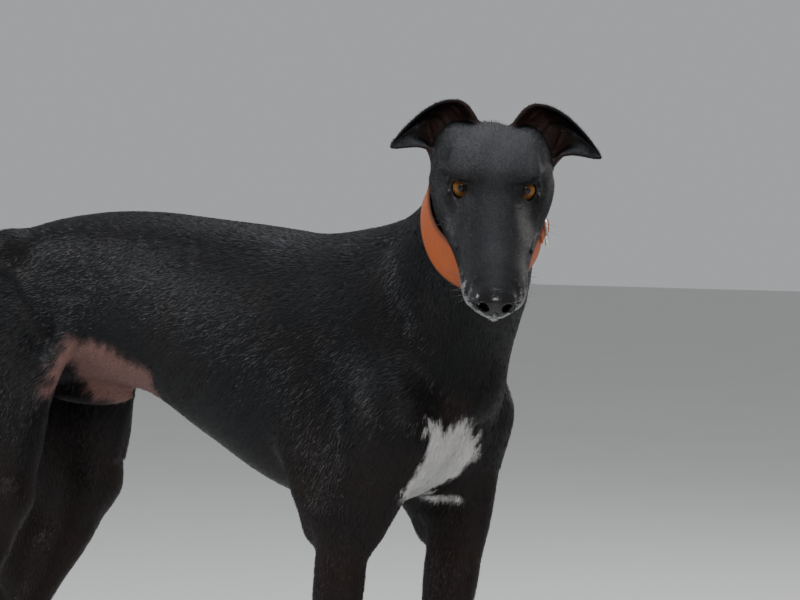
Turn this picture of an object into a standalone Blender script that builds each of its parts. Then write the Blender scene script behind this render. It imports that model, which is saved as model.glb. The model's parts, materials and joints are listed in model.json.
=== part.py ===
"""A life-size greyhound, standing, with its head turned to its right and a broad leather collar.

Everything is in metres. X runs forward, Y to the dog's left and Z up, and the dog stands on Z = 0.
The flesh is one smooth field: each muscle and bone is a named form that blends into its neighbours.
The field's surface is meshed once, thinned, and then parted with thin cuts into the body's parts.
"""

import math

import bpy
import bmesh
import numpy as np
from mathutils import Matrix, Vector
from mathutils.bvhtree import BVHTree

# Where the model's own origin lies in the dog's body frame, which has its X = 0 under the ribs.
ORIGIN = Vector((-0.0686, -0.0807, 0.0))
GAP = 0.0003
FAR = 0.05
LIMB_PIECES = 4
# Trunk: where each station is along X, the back and belly heights there, and the half width.
# The egg number widens a section above its middle, as ribs are, or below where it is negative.
TRUNK = (
    ("buttock", -0.468, 0.588, 0.535, 0.022, 0.00),
    ("tail head", -0.447, 0.618, 0.502, 0.046, 0.00),
    ("croup", -0.400, 0.650, 0.490, 0.060, 0.05),
    ("hip bones", -0.330, 0.682, 0.498, 0.066, 0.10),
    ("loin", -0.250, 0.696, 0.508, 0.064, 0.12),
    ("last rib", -0.160, 0.698, 0.500, 0.072, 0.10),
    ("rib spring", -0.070, 0.690, 0.458, 0.087, 0.12),
    ("mid chest", 0.020, 0.681, 0.415, 0.094, 0.16),
    ("girth", 0.090, 0.675, 0.399, 0.090, 0.20),
    ("elbow line", 0.145, 0.675, 0.401, 0.078, 0.20),
    ("shoulder", 0.195, 0.666, 0.424, 0.062, 0.15),
    ("forechest", 0.232, 0.630, 0.460, 0.046, 0.05),
    ("breastbone", 0.254, 0.570, 0.500, 0.024, 0.00),
)
# Where the head sits: the point midway between the eyes, and the way the muzzle points.
HEAD_AT = np.array((0.4083, -0.1840, 0.7175))
HEAD_TURN = math.radians(-53.5)
HEAD_DIP = math.radians(36)
HEAD_ROLL = math.radians(-3)
# Head profile, measured from between the eyes: forward, then top and underside heights, half width, egg.
SKULL = (
    ("back of skull", -0.118, -0.004, -0.037, 0.024, 0.00),
    ("poll", -0.098, 0.0075, -0.046, 0.040, 0.05),
    ("braincase", -0.070, 0.0215, -0.056, 0.0475, 0.06),
    ("cheekbones", -0.035, 0.0270, -0.060, 0.0520, 0.04),
    ("brows", -0.008, 0.0245, -0.060, 0.0495, -0.02),
    ("stop", 0.018, 0.0165, -0.056, 0.0430, -0.12),
    ("muzzle root", 0.045, 0.0110, -0.051, 0.0365, -0.08),
    ("mid muzzle", 0.075, 0.0055, -0.047, 0.0310, -0.04),
    ("whisker pads", 0.105, 0.0010, -0.043, 0.0268, -0.06),
    ("nose bridge", 0.126, -0.0040, -0.039, 0.0205, -0.05),
    ("muzzle end", 0.135, -0.0090, -0.034, 0.0120, 0.00),
)
EYE_RADIUS = 0.0108
LID_RADIUS = 0.0128
EYE_SIDE = 0.0278
EYE_AHEAD = -0.0100
EYE_UP = 0.0008
# How far each eye looks outward and upward of the muzzle's line.
EYE_OUT = math.radians(20)
EYE_RISE = math.radians(17)
# Neck: points along its middle, with depth and half width, and the front of its base.
NECK = (
    ((0.110, 0.000, 0.580), 0.082, 0.050),
    ((0.180, -0.004, 0.610), 0.076, 0.054),
    ((0.245, -0.022, 0.645), 0.068, 0.052),
    ((0.300, -0.060, 0.682), 0.059, 0.0480),
    ((0.3415, -0.1065, 0.715), 0.053, 0.0425),
    ((0.3605, -0.1315, 0.733), 0.0475, 0.0385),
)
THROAT = (
    ((0.325, -0.086, 0.668), 0.034, 0.036),
    ((0.278, -0.026, 0.612), 0.040, 0.048),
    ((0.232, 0.004, 0.545), 0.040, 0.048),
)
# Ear: rows from its base to its tip, each with five points from the lower edge to the upper one.
# They are measured from between the eyes, with the head level: forward, outward and up.
EAR = (
    (
        (-0.048, 0.050, 0.026), (-0.074, 0.057, 0.036), (-0.088, 0.044, 0.050),
        (-0.080, 0.026, 0.064), (-0.062, 0.014, 0.062),
    ),
    (
        (-0.044, 0.0590, 0.0375), (-0.072, 0.066, 0.046), (-0.087, 0.054, 0.064),
        (-0.080, 0.040, 0.080), (-0.062, 0.0295, 0.0815),
    ),
    (
        (-0.048, 0.0690, 0.0405), (-0.068, 0.074, 0.049), (-0.079, 0.067, 0.064),
        (-0.074, 0.055, 0.0785), (-0.064, 0.0470, 0.0825),
    ),
    (
        (-0.056, 0.0800, 0.0400), (-0.067, 0.083, 0.047), (-0.073, 0.079, 0.057),
        (-0.071, 0.072, 0.067), (-0.066, 0.0655, 0.0735),
    ),
    (
        (-0.064, 0.0905, 0.0385), (-0.068, 0.091, 0.042), (-0.070, 0.090, 0.046),
        (-0.070, 0.087, 0.051), (-0.068, 0.0840, 0.0570),
    ),
    (
        (-0.068, 0.0970, 0.0385), (-0.069, 0.0975, 0.0395), (-0.070, 0.0970, 0.0405),
        (-0.070, 0.0965, 0.0415), (-0.069, 0.0955, 0.0430),
    ),
)
EAR_HALF = (0.0024, 0.0020, 0.0018, 0.0016, 0.0015, 0.0014)
EAR_ROWS = 30
EAR_ACROSS = 25
# The plane where an ear meets the head, and how wide a patch of the head is cut flat for it.
EAR_SEAT = (-0.0712, 0.0472, 0.0560)
EAR_LEAN = (-0.10, 0.66, 0.72)
SEAT_RADIUS = 0.046
# How far each ear reaches sideways: the right one is a little shorter as it stands.
EAR_REACH = {1: 1.0, -1: 0.93}
# The nostrils, and the line of the lips: forward and height, from the corner of the mouth to the front.
NOSTRIL = (0.1360, 0.0092, -0.0180)
NOSTRIL_RADII = (0.0080, 0.0040, 0.0036)
LIPS = (
    (0.012, -0.0440), (0.035, -0.0395), (0.070, -0.0340), (0.100, -0.0325), (0.125, -0.0320),
    (0.140, -0.0320),
)
LIP_DEPTH = 0.0030
# The left forefoot stands this far ahead of the right one, and its elbow is a little lower.
FORE_STEP = {1: 0.025, -1: -0.006}
ELBOW_STEP = {1: 0.039, -1: 0.000}
ELBOW_HEIGHT = {1: 0.372, -1: 0.384}
# The left hind foot stands this far behind the right one.
HIND_STEP = {1: -0.038, -1: 0.0}
TOES = ((-0.0225, -0.004, 0.0), (-0.0078, 0.008, 0.0), (0.0078, 0.008, 0.0), (0.0225, -0.004, 0.0))
TAIL = (
    ((-0.430, 0.000, 0.638), 0.024, 0.022),
    ((-0.472, 0.000, 0.622), 0.0185, 0.018),
    ((-0.509, 0.002, 0.582), 0.0145, 0.0145),
    ((-0.526, 0.004, 0.520), 0.0125, 0.0120),
    ((-0.532, 0.006, 0.450), 0.0108, 0.0104),
    ((-0.533, 0.008, 0.380), 0.0094, 0.0092),
    ((-0.545, 0.009, 0.315), 0.0082, 0.0080),
    ((-0.566, 0.010, 0.262), 0.0070, 0.0068),
    ((-0.592, 0.010, 0.228), 0.0060, 0.0058),
    ((-0.612, 0.010, 0.216), 0.0052, 0.0050),
)
# The legs' outlines from the side, where they are parted from the trunk.
FORE_TOP = (0.160, 0.490, 0.086)
HIND_TOP = (-0.372, 0.555, 0.088)
# The flat cuts: through the neck behind the skull, at the neck's base, and at the tail's root.
# The space that holds a leg: its inner side, its height below the joint's disc, and its two ends.
FORE_SPACE = (0.042, 0.392, (0.02, 0.330))
HIND_SPACE = (0.0215, 0.447, (-0.514, -0.150))
HEAD_CUT = (-0.112, 0.0, -0.008)
HEAD_CUT_WAY = (0.700, 0.0, 0.714)
NECK_CUT = (0.195, 0.0, 0.603)
NECK_CUT_WAY = (0.74, -0.08, 0.66)
TAIL_CUT = (-0.4960, 0.001, 0.5980)
TAIL_CUT_WAY = (-0.64, 0.0, -0.77)
TAIL_CUT_RADIUS = 0.0235
CLAW_LENGTH = 0.015
CLAW_RADIUS = 0.0031
# The collar: a point within the neck, the way through it, and its leather's width and thickness.
COLLAR_AT = np.array((0.327, -0.089, 0.700))
COLLAR_WAY = (0.50, -0.64, 0.40)
COLLAR_WIDE = 0.046
COLLAR_THICK = 0.0030
COLLAR_TURNS = 44
# The ring hangs from a leather tab on the collar's left side.
RING_TURN = math.radians(-12)
RING_WIRE = 0.0019
RING_HALF = 0.0115
RING_HANG = 0.0165
TAB_HALF = 0.0075
TAB_LONG = 0.0135
TAB_THICK = 0.0016
EYE_WIDE = 0.0186
EYE_HIGH = 0.0156
COAT = (0.012, 0.012, 0.014)
LOOKS = {
    "torso": (COAT, 0.45, 0.0),
    "neck": ((0.013, 0.013, 0.014), 0.45, 0.0),
    "head": ((0.014, 0.014, 0.015), 0.45, 0.0),
    "tail": ((0.011, 0.011, 0.012), 0.5, 0.0),
    "foreleg_left": ((0.012, 0.012, 0.013), 0.45, 0.0),
    "foreleg_right": ((0.012, 0.011, 0.013), 0.45, 0.0),
    "hindleg_left": ((0.012, 0.012, 0.012), 0.45, 0.0),
    "hindleg_right": ((0.013, 0.012, 0.013), 0.45, 0.0),
    "ear_left": ((0.016, 0.013, 0.013), 0.5, 0.0),
    "ear_right": ((0.017, 0.013, 0.013), 0.5, 0.0),
    "eye_left": ((0.42, 0.17, 0.03), 0.08, 0.0),
    "eye_right": ((0.42, 0.16, 0.03), 0.08, 0.0),
    "collar": ((0.44, 0.17, 0.05), 0.5, 0.0),
    "collar_ring": ((0.70, 0.70, 0.68), 0.25, 1.0),
    "collar_tab": ((0.38, 0.14, 0.04), 0.5, 0.0),
}


def hermite(x, knots, values):
    """A smooth curve through the knots, flat beyond the first and the last."""
    knots = np.asarray(knots, float)
    values = np.asarray(values, float)
    slopes = np.gradient(values, knots)
    i = np.clip(np.searchsorted(knots, x) - 1, 0, len(knots) - 2)
    span = knots[i + 1] - knots[i]
    t = np.clip((x - knots[i]) / span, 0, 1)
    start = (1 + 2 * t) * (1 - t) ** 2 * values[i] + t * (1 - t) ** 2 * span * slopes[i]
    end = t * t * (3 - 2 * t) * values[i + 1] + t * t * (t - 1) * span * slopes[i + 1]
    return start + end


def unit(v):
    v = np.asarray(v, float)
    return v / np.linalg.norm(v)


def ellipse_distance(parts):
    """The distance from the surface of an ellipsoid, from pairs of (offset, radius)."""
    k0 = np.sqrt(sum((q / r) ** 2 for q, r in parts))
    k1 = np.sqrt(sum((q / (r * r)) ** 2 for q, r in parts)) + 1e-9
    return k0 * (k0 - 1) / k1


class Field:
    """A smooth solid, built up from forms that are added or cut with a soft edge."""

    def __init__(self):
        self.forms = []

    def put(self, distance, low, high, soft, cut=False):
        margin = soft + 0.004
        self.forms.append((distance, np.asarray(low) - margin, np.asarray(high) + margin, soft, cut))

    def __call__(self, points):
        value = np.full(len(points), FAR)
        for distance, low, high, soft, cut in self.forms:
            near = np.flatnonzero(np.all((points > low) & (points < high), axis=1))
            if not len(near):
                continue
            d = distance(points[near])
            old = value[near]
            if cut:
                d, old = -d, old
                blend = np.maximum(soft - np.abs(old - d), 0)
                value[near] = np.maximum(old, d) + blend * blend / (4 * soft)
            else:
                blend = np.maximum(soft - np.abs(old - d), 0)
                value[near] = np.minimum(old, d) - blend * blend / (4 * soft)
        return value

    def ball(self, centre, radii, along=(1, 0, 0), across=(0, 1, 0), soft=0.02, cut=False):
        """An ellipsoid: radii run along, across and square to both."""
        centre = np.asarray(centre, float)
        e1 = unit(along)
        e2 = np.asarray(across, float)
        e2 = unit(e2 - e1 * (e2 @ e1))
        e3 = np.cross(e1, e2)
        axes = (e1, e2, e3)

        def distance(points):
            q = points - centre
            return ellipse_distance([(q @ e, r) for e, r in zip(axes, radii)])

        reach = np.sqrt(sum((np.abs(e) * r) ** 2 for e, r in zip(axes, radii)))
        self.put(distance, centre - reach, centre + reach, soft, cut)

    def muscle(self, start, end, thick, wide, side=(0, 1, 0), soft=0.02, cut=False):
        """A spindle from start to end. wide is its half width along side, thick square to that."""
        start = np.asarray(start, float)
        end = np.asarray(end, float)
        length = np.linalg.norm(end - start) / 2
        self.ball((start + end) / 2, (length, wide, thick), end - start, side, soft, cut)

    def limb(self, stations, side=(0, 1, 0), soft=0.02, cut=False):
        """A bent rod through (point, thick, wide) stations, with an oval section."""
        table = np.array([(*point, thick, wide) for point, thick, wide in stations], float)
        knots = np.concatenate([[0], np.cumsum(np.linalg.norm(np.diff(table[:, :3], axis=0), axis=1))])
        along = np.linspace(0, knots[-1], LIMB_PIECES * (len(stations) - 1) + 1)
        table = np.stack([hermite(along, knots, column) for column in table.T], -1)
        rods = []
        for a, b in zip(table, table[1:]):
            axis = b[:3] - a[:3]
            e1 = unit(axis)
            e2 = np.asarray(side, float)
            e2 = unit(e2 - e1 * (e2 @ e1))
            rods.append((a, b, axis, e1, e2, np.cross(e1, e2)))

        def distance(p):
            value = np.full(len(p), FAR * 4)
            for a, b, axis, e1, e2, e3 in rods:
                q = p - a[:3]
                t = np.clip(q @ axis / (axis @ axis), 0, 1)
                q = q - t[:, None] * axis
                thick, wide = a[3] + (b[3] - a[3]) * t, a[4] + (b[4] - a[4]) * t
                around = [(q @ e1, np.minimum(thick, wide)), (q @ e2, wide), (q @ e3, thick)]
                value = np.minimum(value, ellipse_distance(around))
            return value

        reach = table[:, 3:].max()
        self.put(distance, table[:, :3].min(0) - reach, table[:, :3].max(0) + reach, soft, cut)

    def trunk(self, stations, soft=0.02):
        x, top, bottom, wide, egg = (np.array([s[i] for s in stations]) for i in range(1, 6))

        def distance(p):
            at = np.clip(p[:, 0], x[0], x[-1])
            t, b = hermite(at, x, top), hermite(at, x, bottom)
            w, e = hermite(at, x, wide), hermite(at, x, egg)
            half = (t - b) / 2
            up = p[:, 2] - (t + b) / 2
            w = w * (1 + e * np.clip(up / half, -1, 1))
            return ellipse_distance([(p[:, 0] - at, np.minimum(half, w)), (p[:, 1], w), (up, half)])

        low = (x[0] - 0.03, -max(wide) * 1.2, min(bottom))
        high = (x[-1] + 0.03, max(wide) * 1.2, max(top))
        self.put(distance, low, high, soft)

    def keep_behind(self, point, normal):
        """Cuts away all that lies beyond a plane."""
        point = np.asarray(point, float)
        normal = unit(normal)

        def distance(p):
            return (point - p) @ normal

        self.put(distance, np.full(3, -9.0), np.full(3, 9.0), 0.0001, True)

    def sheet(self, rows, half, soft):
        """A curved sheet through rows of points, half as thick as its half thickness at each point."""
        count, across = rows.shape[:2]
        number = np.arange(count * across).reshape(count, across)
        corners = (number[:-1, :-1], number[:-1, 1:], number[1:, 1:], number[1:, :-1])
        quads = np.stack(corners, -1).reshape(-1, 4)
        tree = BVHTree.FromPolygons([Vector(p) for p in rows.reshape(-1, 3)], quads.tolist())
        thick = half.reshape(-1)[quads].mean(-1)

        def distance(p):
            value = np.empty(len(p))
            for i, point in enumerate(p.tolist()):
                _, _, face, gap = tree.find_nearest(point)
                value[i] = gap - thick[face]
            return value

        low, high = rows.reshape(-1, 3).min(0), rows.reshape(-1, 3).max(0)
        self.put(distance, low - half.max(), high + half.max(), soft)


def head_axes():
    """The head's own forward, left and up directions."""
    turn = Matrix.Rotation(HEAD_TURN, 3, "Z") @ Matrix.Rotation(HEAD_DIP, 3, "Y") @ Matrix.Rotation(
        HEAD_ROLL, 3, "X",
    )
    return np.array([list(turn @ Vector(v)) for v in ((1, 0, 0), (0, 1, 0), (0, 0, 1))])


HEAD_AXES = head_axes()


def on_head(x, y, z):
    """A point given in the head's own directions, from between the eyes."""
    return HEAD_AT + np.array((x, y, z)) @ HEAD_AXES


def in_head(points):
    """Points in the head's own directions."""
    return (points - HEAD_AT) @ HEAD_AXES.T


def add_skull(field):
    """The head: the long wedge, then cheeks, brows, muzzle and jaw."""
    x, top, bottom, wide, egg = (np.array([s[i] for s in SKULL]) for i in range(1, 6))

    def distance(p):
        q = in_head(p)
        at = np.clip(q[:, 0], x[0], x[-1])
        t, b = hermite(at, x, top), hermite(at, x, bottom)
        w, e = hermite(at, x, wide), hermite(at, x, egg)
        half = (t - b) / 2
        up = q[:, 2] - (t + b) / 2
        w = w * (1 + e * np.clip(up / half, -1, 1))
        return ellipse_distance([(q[:, 0] - at, np.minimum(half, w) * 0.55), (q[:, 1], w), (up, half)])

    reach = 0.16
    field.put(distance, HEAD_AT - reach, HEAD_AT + reach, 0.02)
    fwd, left, up = HEAD_AXES
    for side in (1, -1):
        out = left * side
        # The jaw muscle, the temple, the cheekbone under the eye, and the brow over it.
        field.ball(on_head(-0.050, side * 0.038, -0.030), (0.036, 0.013, 0.030), fwd, out, 0.015)
        field.ball(on_head(-0.062, side * 0.035, 0.010), (0.038, 0.0175, 0.020), fwd, out, 0.012)
        # The hollow before and over the eye, along the side of the muzzle.
        field.ball(on_head(0.024, side * 0.046, 0.008), (0.034, 0.0165, 0.0150), fwd, out, 0.014, cut=True)
        field.muscle(
            on_head(-0.040, side * 0.052, -0.014), on_head(0.020, side * 0.034, -0.017), 0.0075,
            0.006, out, 0.010,
        )
        field.ball(on_head(-0.012, side * 0.0280, 0.0150), (0.017, 0.013, 0.0070), fwd, out, 0.014)
        # The whisker pad.
        field.ball(on_head(0.104, side * 0.0155, -0.0220), (0.022, 0.0115, 0.0140), fwd, out, 0.008)
        # The flesh of the lids, round the eyeball.
        field.ball(eye_at(side), (LID_RADIUS, LID_RADIUS, LID_RADIUS), fwd, out, 0.006)
    # The nose: a rounded pad that stands a little proud of the lips.
    field.ball(on_head(0.1275, 0, -0.0165), (0.0135, 0.0178, 0.0118), fwd, left, 0.006)
    # The furrow between the brows.
    field.ball(on_head(-0.022, 0, 0.0425), (0.045, 0.008, 0.014), fwd, left, 0.014, cut=True)


def eye_at(side):
    return on_head(EYE_AHEAD, side * EYE_SIDE, EYE_UP)


def eye_axes(side):
    """The way an eye's opening faces, then outward along the lids, then up."""
    level = math.cos(EYE_RISE)
    gaze = np.array((level * math.cos(EYE_OUT), side * level * math.sin(EYE_OUT), math.sin(EYE_RISE)))
    # The line through the corners of the lids.
    out = np.array((-math.sin(EYE_OUT), side * math.cos(EYE_OUT), -0.10))
    out = unit(out - gaze * (out @ gaze))
    return gaze @ HEAD_AXES, out @ HEAD_AXES, np.cross(gaze, out) * side @ HEAD_AXES


def from_level(point, side):
    """A point on one side of the head, from its place with the head held level."""
    ahead, out, up = point
    roll = Matrix.Rotation(HEAD_TURN, 3, "Z") @ Matrix.Rotation(HEAD_ROLL, 3, "X")
    return HEAD_AT + np.array(roll @ Vector((ahead, side * out, up)))


def ear_rows(side):
    """A fine grid over an ear's middle surface."""
    table = np.array(EAR)
    table[..., 1] = np.where(
        table[..., 1] > 0.05, 0.05 + (table[..., 1] - 0.05) * EAR_REACH[side], table[..., 1],
    )
    table = np.array([[from_level(p, side) for p in row] for row in table])
    s = np.linspace(0, 1, EAR_ROWS)
    t = np.linspace(0, 1, EAR_ACROSS)
    rows, across = np.linspace(0, 1, len(EAR)), np.linspace(0, 1, 5)
    fine = np.stack([[hermite(t, across, row[:, k]) for row in table] for k in range(3)], -1)
    fine = np.stack([[hermite(s, rows, fine[:, j, k]) for j in range(EAR_ACROSS)] for k in range(3)], -1)
    half = np.repeat(hermite(s, rows, EAR_HALF)[:, None], EAR_ACROSS, 1)
    # The edges are thinner than the middle.
    half = half * (1 - 0.25 * np.abs(2 * t - 1) ** 4)
    return fine.transpose(1, 0, 2), half


def add_ear_root(field, side):
    centre = from_level((-0.076, 0.037, 0.040), side)
    field.ball(centre, (0.024, 0.020, 0.014), HEAD_AXES[0], from_level((0, 1, 0.2), side) - HEAD_AT, 0.012)


def add_ear(field, side):
    rows, half = ear_rows(side)
    field.sheet(rows, half, 0.006)


def add_neck(field):
    field.limb(NECK, (0, 1, 0), 0.035)
    field.limb(THROAT, (0, 1, 0), 0.035)


def fore_joints(side):
    """Where the joints of a foreleg are, for side +1, the left, or -1, the right."""
    step, bend, height = FORE_STEP[side], ELBOW_STEP[side], ELBOW_HEIGHT[side]
    return {
        "blade": np.array((0.112, side * 0.028, 0.632)),
        "shoulder": np.array((0.215 + 0.1 * step, side * 0.064, 0.500)),
        "elbow": np.array((0.140 + bend, side * (0.068 + 0.08 * bend), height + 0.008)),
        "point": np.array((0.110 + 0.9 * bend, side * 0.070, height + 0.004)),
        "wrist": np.array((0.130 + step, side * 0.066, 0.136)),
        "knuckle": np.array((0.143 + step, side * 0.067, 0.043)),
    }


def add_fore(field, side):
    j = fore_joints(side)
    out = (0, side, 0)
    blade, shoulder, elbow, point = j["blade"], j["shoulder"], j["elbow"], j["point"]
    wrist, knuckle = j["wrist"], j["knuckle"]
    # Shoulder blade, its muscles, the point of the shoulder, and the upper arm.
    field.muscle(blade + (0, side * 0.012, 0.01), shoulder + (0.006, 0, -0.02), 0.044, 0.024, out, 0.03)
    field.ball(shoulder + (-0.006, side * -0.008, -0.004), (0.032, 0.026, 0.048), (1, 0, 0), out, 0.045)
    field.limb(
        [(shoulder + (-0.008, 0, 0), 0.034, 0.025), (elbow + (0.0, 0, 0.012), 0.028, 0.021)], out,
        0.03,
    )
    # The muscles in front of the upper arm, down to the top of the forearm.
    field.muscle(
        shoulder + (0.006, -side * 0.006, -0.015), elbow + (0.024, 0, -0.035), 0.019, 0.018, out,
        0.022,
    )
    # The triceps, from the back edge of the blade to the point of the elbow.
    field.muscle(
        (0.094, side * 0.058, 0.570), point + (0.016, side * 0.002, -0.01), 0.042, 0.025, out,
        0.025,
    )
    # Forearm, wrist and pastern.
    field.limb(
        [
            (elbow + (0, 0, 0.01), 0.0280, 0.0225),
            (elbow + (0.004, 0, -0.045), 0.0255, 0.0210),
            (elbow + (wrist - elbow) * 0.45, 0.0190, 0.0172),
            (elbow + (wrist - elbow) * 0.80, 0.0145, 0.0142),
            (wrist, 0.0165, 0.0172),
            (wrist + (knuckle - wrist) * 0.35, 0.0132, 0.0155),
            (knuckle, 0.0155, 0.0190),
        ],
        out,
        0.015,
    )
    field.muscle(
        elbow + (0.010, side * 0.004, 0.0), elbow + (wrist - elbow) * 0.55 + (0.007, 0, 0), 0.018,
        0.0165, out, 0.015,
    )
    field.muscle(
        elbow + (-0.012, -side * 0.006, -0.01), elbow + (wrist - elbow) * 0.5 + (-0.006, 0, 0),
        0.017, 0.016, out, 0.015,
    )
    # The bony point of the elbow and the small bone behind the wrist.
    field.ball(point, (0.012, 0.0095, 0.018), (1, 0, 0), out, 0.012)
    field.ball(wrist + (-0.0155, side * 0.002, -0.006), (0.007, 0.0065, 0.011), (1, 0, 0), out, 0.010)
    add_paw(field, knuckle, side, 0.95)


def hind_joints(side):
    """Where the joints of a hind leg are."""
    step = HIND_STEP[side]
    return {
        "hip": np.array((-0.378, side * 0.050, 0.595)),
        "knee": np.array((-0.314 + 0.5 * step, side * 0.080, 0.390)),
        "hock": np.array((-0.420 + step, side * 0.074, 0.192)),
        "heel": np.array((-0.456 + step, side * 0.074, 0.210)),
        "knuckle": np.array((-0.426 + step, side * 0.074, 0.043)),
    }


def add_hind(field, side):
    j = hind_joints(side)
    out = (0, side, 0)
    hip, knee, hock, heel, knuckle = j["hip"], j["knee"], j["hock"], j["heel"], j["knuckle"]
    # The thigh: front, back and outer muscles, which fill the side of the rump.
    field.muscle(hip + (0.036, side * 0.006, 0.02), knee + (0.004, 0, -0.010), 0.047, 0.033, out, 0.03)
    field.muscle(
        hip + (-0.052, -side * 0.004, 0.01), knee + (-0.045, side * -0.004, -0.04), 0.050, 0.033,
        out, 0.035,
    )
    field.muscle(
        hip + (-0.012, side * 0.012, 0.04), knee + (-0.020, side * 0.002, 0.0), 0.072, 0.031, out,
        0.035,
    )
    field.ball(knee + (0.000, 0, 0.004), (0.024, 0.021, 0.032), (1, 0, 0), out, 0.025)
    # The second thigh, the hock, its tendon and the pastern.
    calf = knee + (hock - knee) * 0.35 + np.array((-0.022, 0, -0.012))
    field.limb(
        [
            (knee + (-0.006, 0, 0.0), 0.034, 0.026),
            (knee + (hock - knee) * 0.30, 0.029, 0.0235),
            (knee + (hock - knee) * 0.62, 0.0190, 0.0170),
            (hock, 0.0180, 0.0155),
            (hock + (knuckle - hock) * 0.30, 0.0150, 0.0140),
            (hock + (knuckle - hock) * 0.65, 0.0125, 0.0145),
            (knuckle, 0.0155, 0.0185),
        ],
        out,
        0.02,
    )
    field.muscle(knee + (-0.050, 0, 0.035), hock + (-0.012, 0, 0.055), 0.027, 0.023, out, 0.025)
    field.limb(
        [(calf, 0.014, 0.012), (hock + (-0.028, 0, 0.06), 0.0068, 0.0062), (heel, 0.0092, 0.0082)],
        out, 0.018,
    )
    # The skin between that tendon and the shin.
    field.muscle(
        knee + (hock - knee) * 0.45 + (-0.016, 0, 0), hock + (-0.014, 0, 0.012), 0.022, 0.0075,
        out, 0.014,
    )
    field.limb(
        [(heel + (0, 0, 0.001), 0.0095, 0.0085), (hock + (-0.014, 0, -0.035), 0.0080, 0.0090)],
        out, 0.014,
    )
    add_paw(field, knuckle, side, 0.92)


def toe_points(knuckle, side, size):
    """Where each toe starts, arches and ends."""
    found = []
    for across, ahead, _ in TOES:
        root = knuckle + np.array((0.004, across * 0.62 * side, -0.004)) * size
        arch = knuckle + np.array((0.026 + ahead, across * side, -0.012)) * size
        tip = knuckle + np.array((0.045 + ahead, across * 1.02 * side, 0)) * size
        tip[2] = 0.0135
        found.append((root, arch, tip))
    return found


def add_paw(field, knuckle, side, size):
    """A long, well arched foot: four toes with their pads, and the big pad behind them."""
    out = (0, side, 0)
    for root, arch, tip in toe_points(knuckle, side, size):
        field.limb([(root, 0.0115, 0.0088), (arch, 0.0100, 0.0080), (tip, 0.0085, 0.0078)], out, 0.006)
        field.ball(tip + (-0.004, 0, -0.0060), (0.0110, 0.0076, 0.0085), (1, 0, 0), out, 0.003)
    field.ball((knuckle[0] + 0.004, knuckle[1], 0.0165), (0.0165, 0.0185, 0.0172), (1, 0, 0), out, 0.008)


def add_belly(field):
    """The skin folds of flank and groin, and the sheath of a male."""
    for side in (1, -1):
        field.muscle(
            (-0.235, side * 0.056, 0.570), (-0.300, side * 0.078, 0.450), 0.014, 0.007,
            (0, side, 0), 0.03,
        )
    field.muscle((-0.335, 0, 0.500), (-0.200, 0, 0.497), 0.014, 0.016, (0, 1, 0), 0.016)
    field.ball((-0.352, 0, 0.470), (0.025, 0.018, 0.021), (1, 0, 0.2), (0, 1, 0), 0.014)


def add_trunk(field):
    field.trunk(TRUNK, 0.02)
    for side in (1, -1):
        # Long back muscles beside the spine, the breast muscle and the hip bone.
        field.muscle(
            (-0.37, side * 0.030, 0.652), (0.02, side * 0.034, 0.660), 0.022, 0.024, (0, side, 0),
            0.025,
        )
        field.muscle(
            (0.256, side * 0.020, 0.520), (0.160, side * 0.034, 0.420), 0.030, 0.022, (0, side, 0),
            0.025,
        )
        field.ball((-0.335, side * 0.056, 0.662), (0.026, 0.013, 0.014), (1, 0, 0), (0, side, 0), 0.03)
        field.ball((-0.448, side * 0.040, 0.570), (0.026, 0.020, 0.030), (1, 0, 0), (0, side, 0), 0.03)


def add_tail(field):
    field.limb(TAIL, (0, 1, 0), 0.02)
    # The hollow under the tail's root.
    field.ball((-0.4875, 0.001, 0.566), (0.0065, 0.024, 0.034), (1, 0, -0.35), (0, 1, 0), 0.006, cut=True)


def make_flesh():
    field = Field()
    add_trunk(field)
    for side in (1, -1):
        add_fore(field, side)
        add_hind(field, side)
    add_belly(field)
    add_tail(field)
    add_neck(field)
    add_skull(field)
    add_ear_root(field, 1)
    add_ear_root(field, -1)
    return field


CORNERS = np.array([(i, j, k) for i in (0, 1) for j in (0, 1) for k in (0, 1)])


def is_split(code):
    """Whether the inside or the outside corners of a cell form two groups or more."""
    for wanted in (0, 1):
        corners = [i for i in range(8) if (code >> i) & 1 == wanted]
        group = corners[:1]
        for a in group:
            group += [b for b in corners if b not in group and np.abs(CORNERS[a] - CORNERS[b]).sum() == 1]
        if len(group) < len(corners):
            return True
    return False


SPLIT = np.array([is_split(code) for code in range(256)])


def fill_doubtful(value):
    """Fills in corners until every cell is crossed by one sheet at most, and returns the crossed cells."""
    for _ in range(40):
        inside = (value < 0).astype(np.int32)
        code = np.zeros([n - 1 for n in value.shape], np.int32)
        for bit, (i, j, k) in enumerate(CORNERS):
            part = inside[
                i : inside.shape[0] - 1 + i, j : inside.shape[1] - 1 + j,
                k : inside.shape[2] - 1 + k,
            ]
            code += part << bit
        bad = np.argwhere(SPLIT[code])
        if not len(bad):
            break
        corners = bad[:, None, :] + CORNERS[None]
        near = value[tuple(corners.reshape(-1, 3).T)].reshape(-1, 8)
        chosen = np.argmin(np.where(near < 0, 9.0, near), axis=1)
        value[tuple(corners[np.arange(len(bad)), chosen].T)] = -1e-6
    return (code > 0) & (code < 255)


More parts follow.
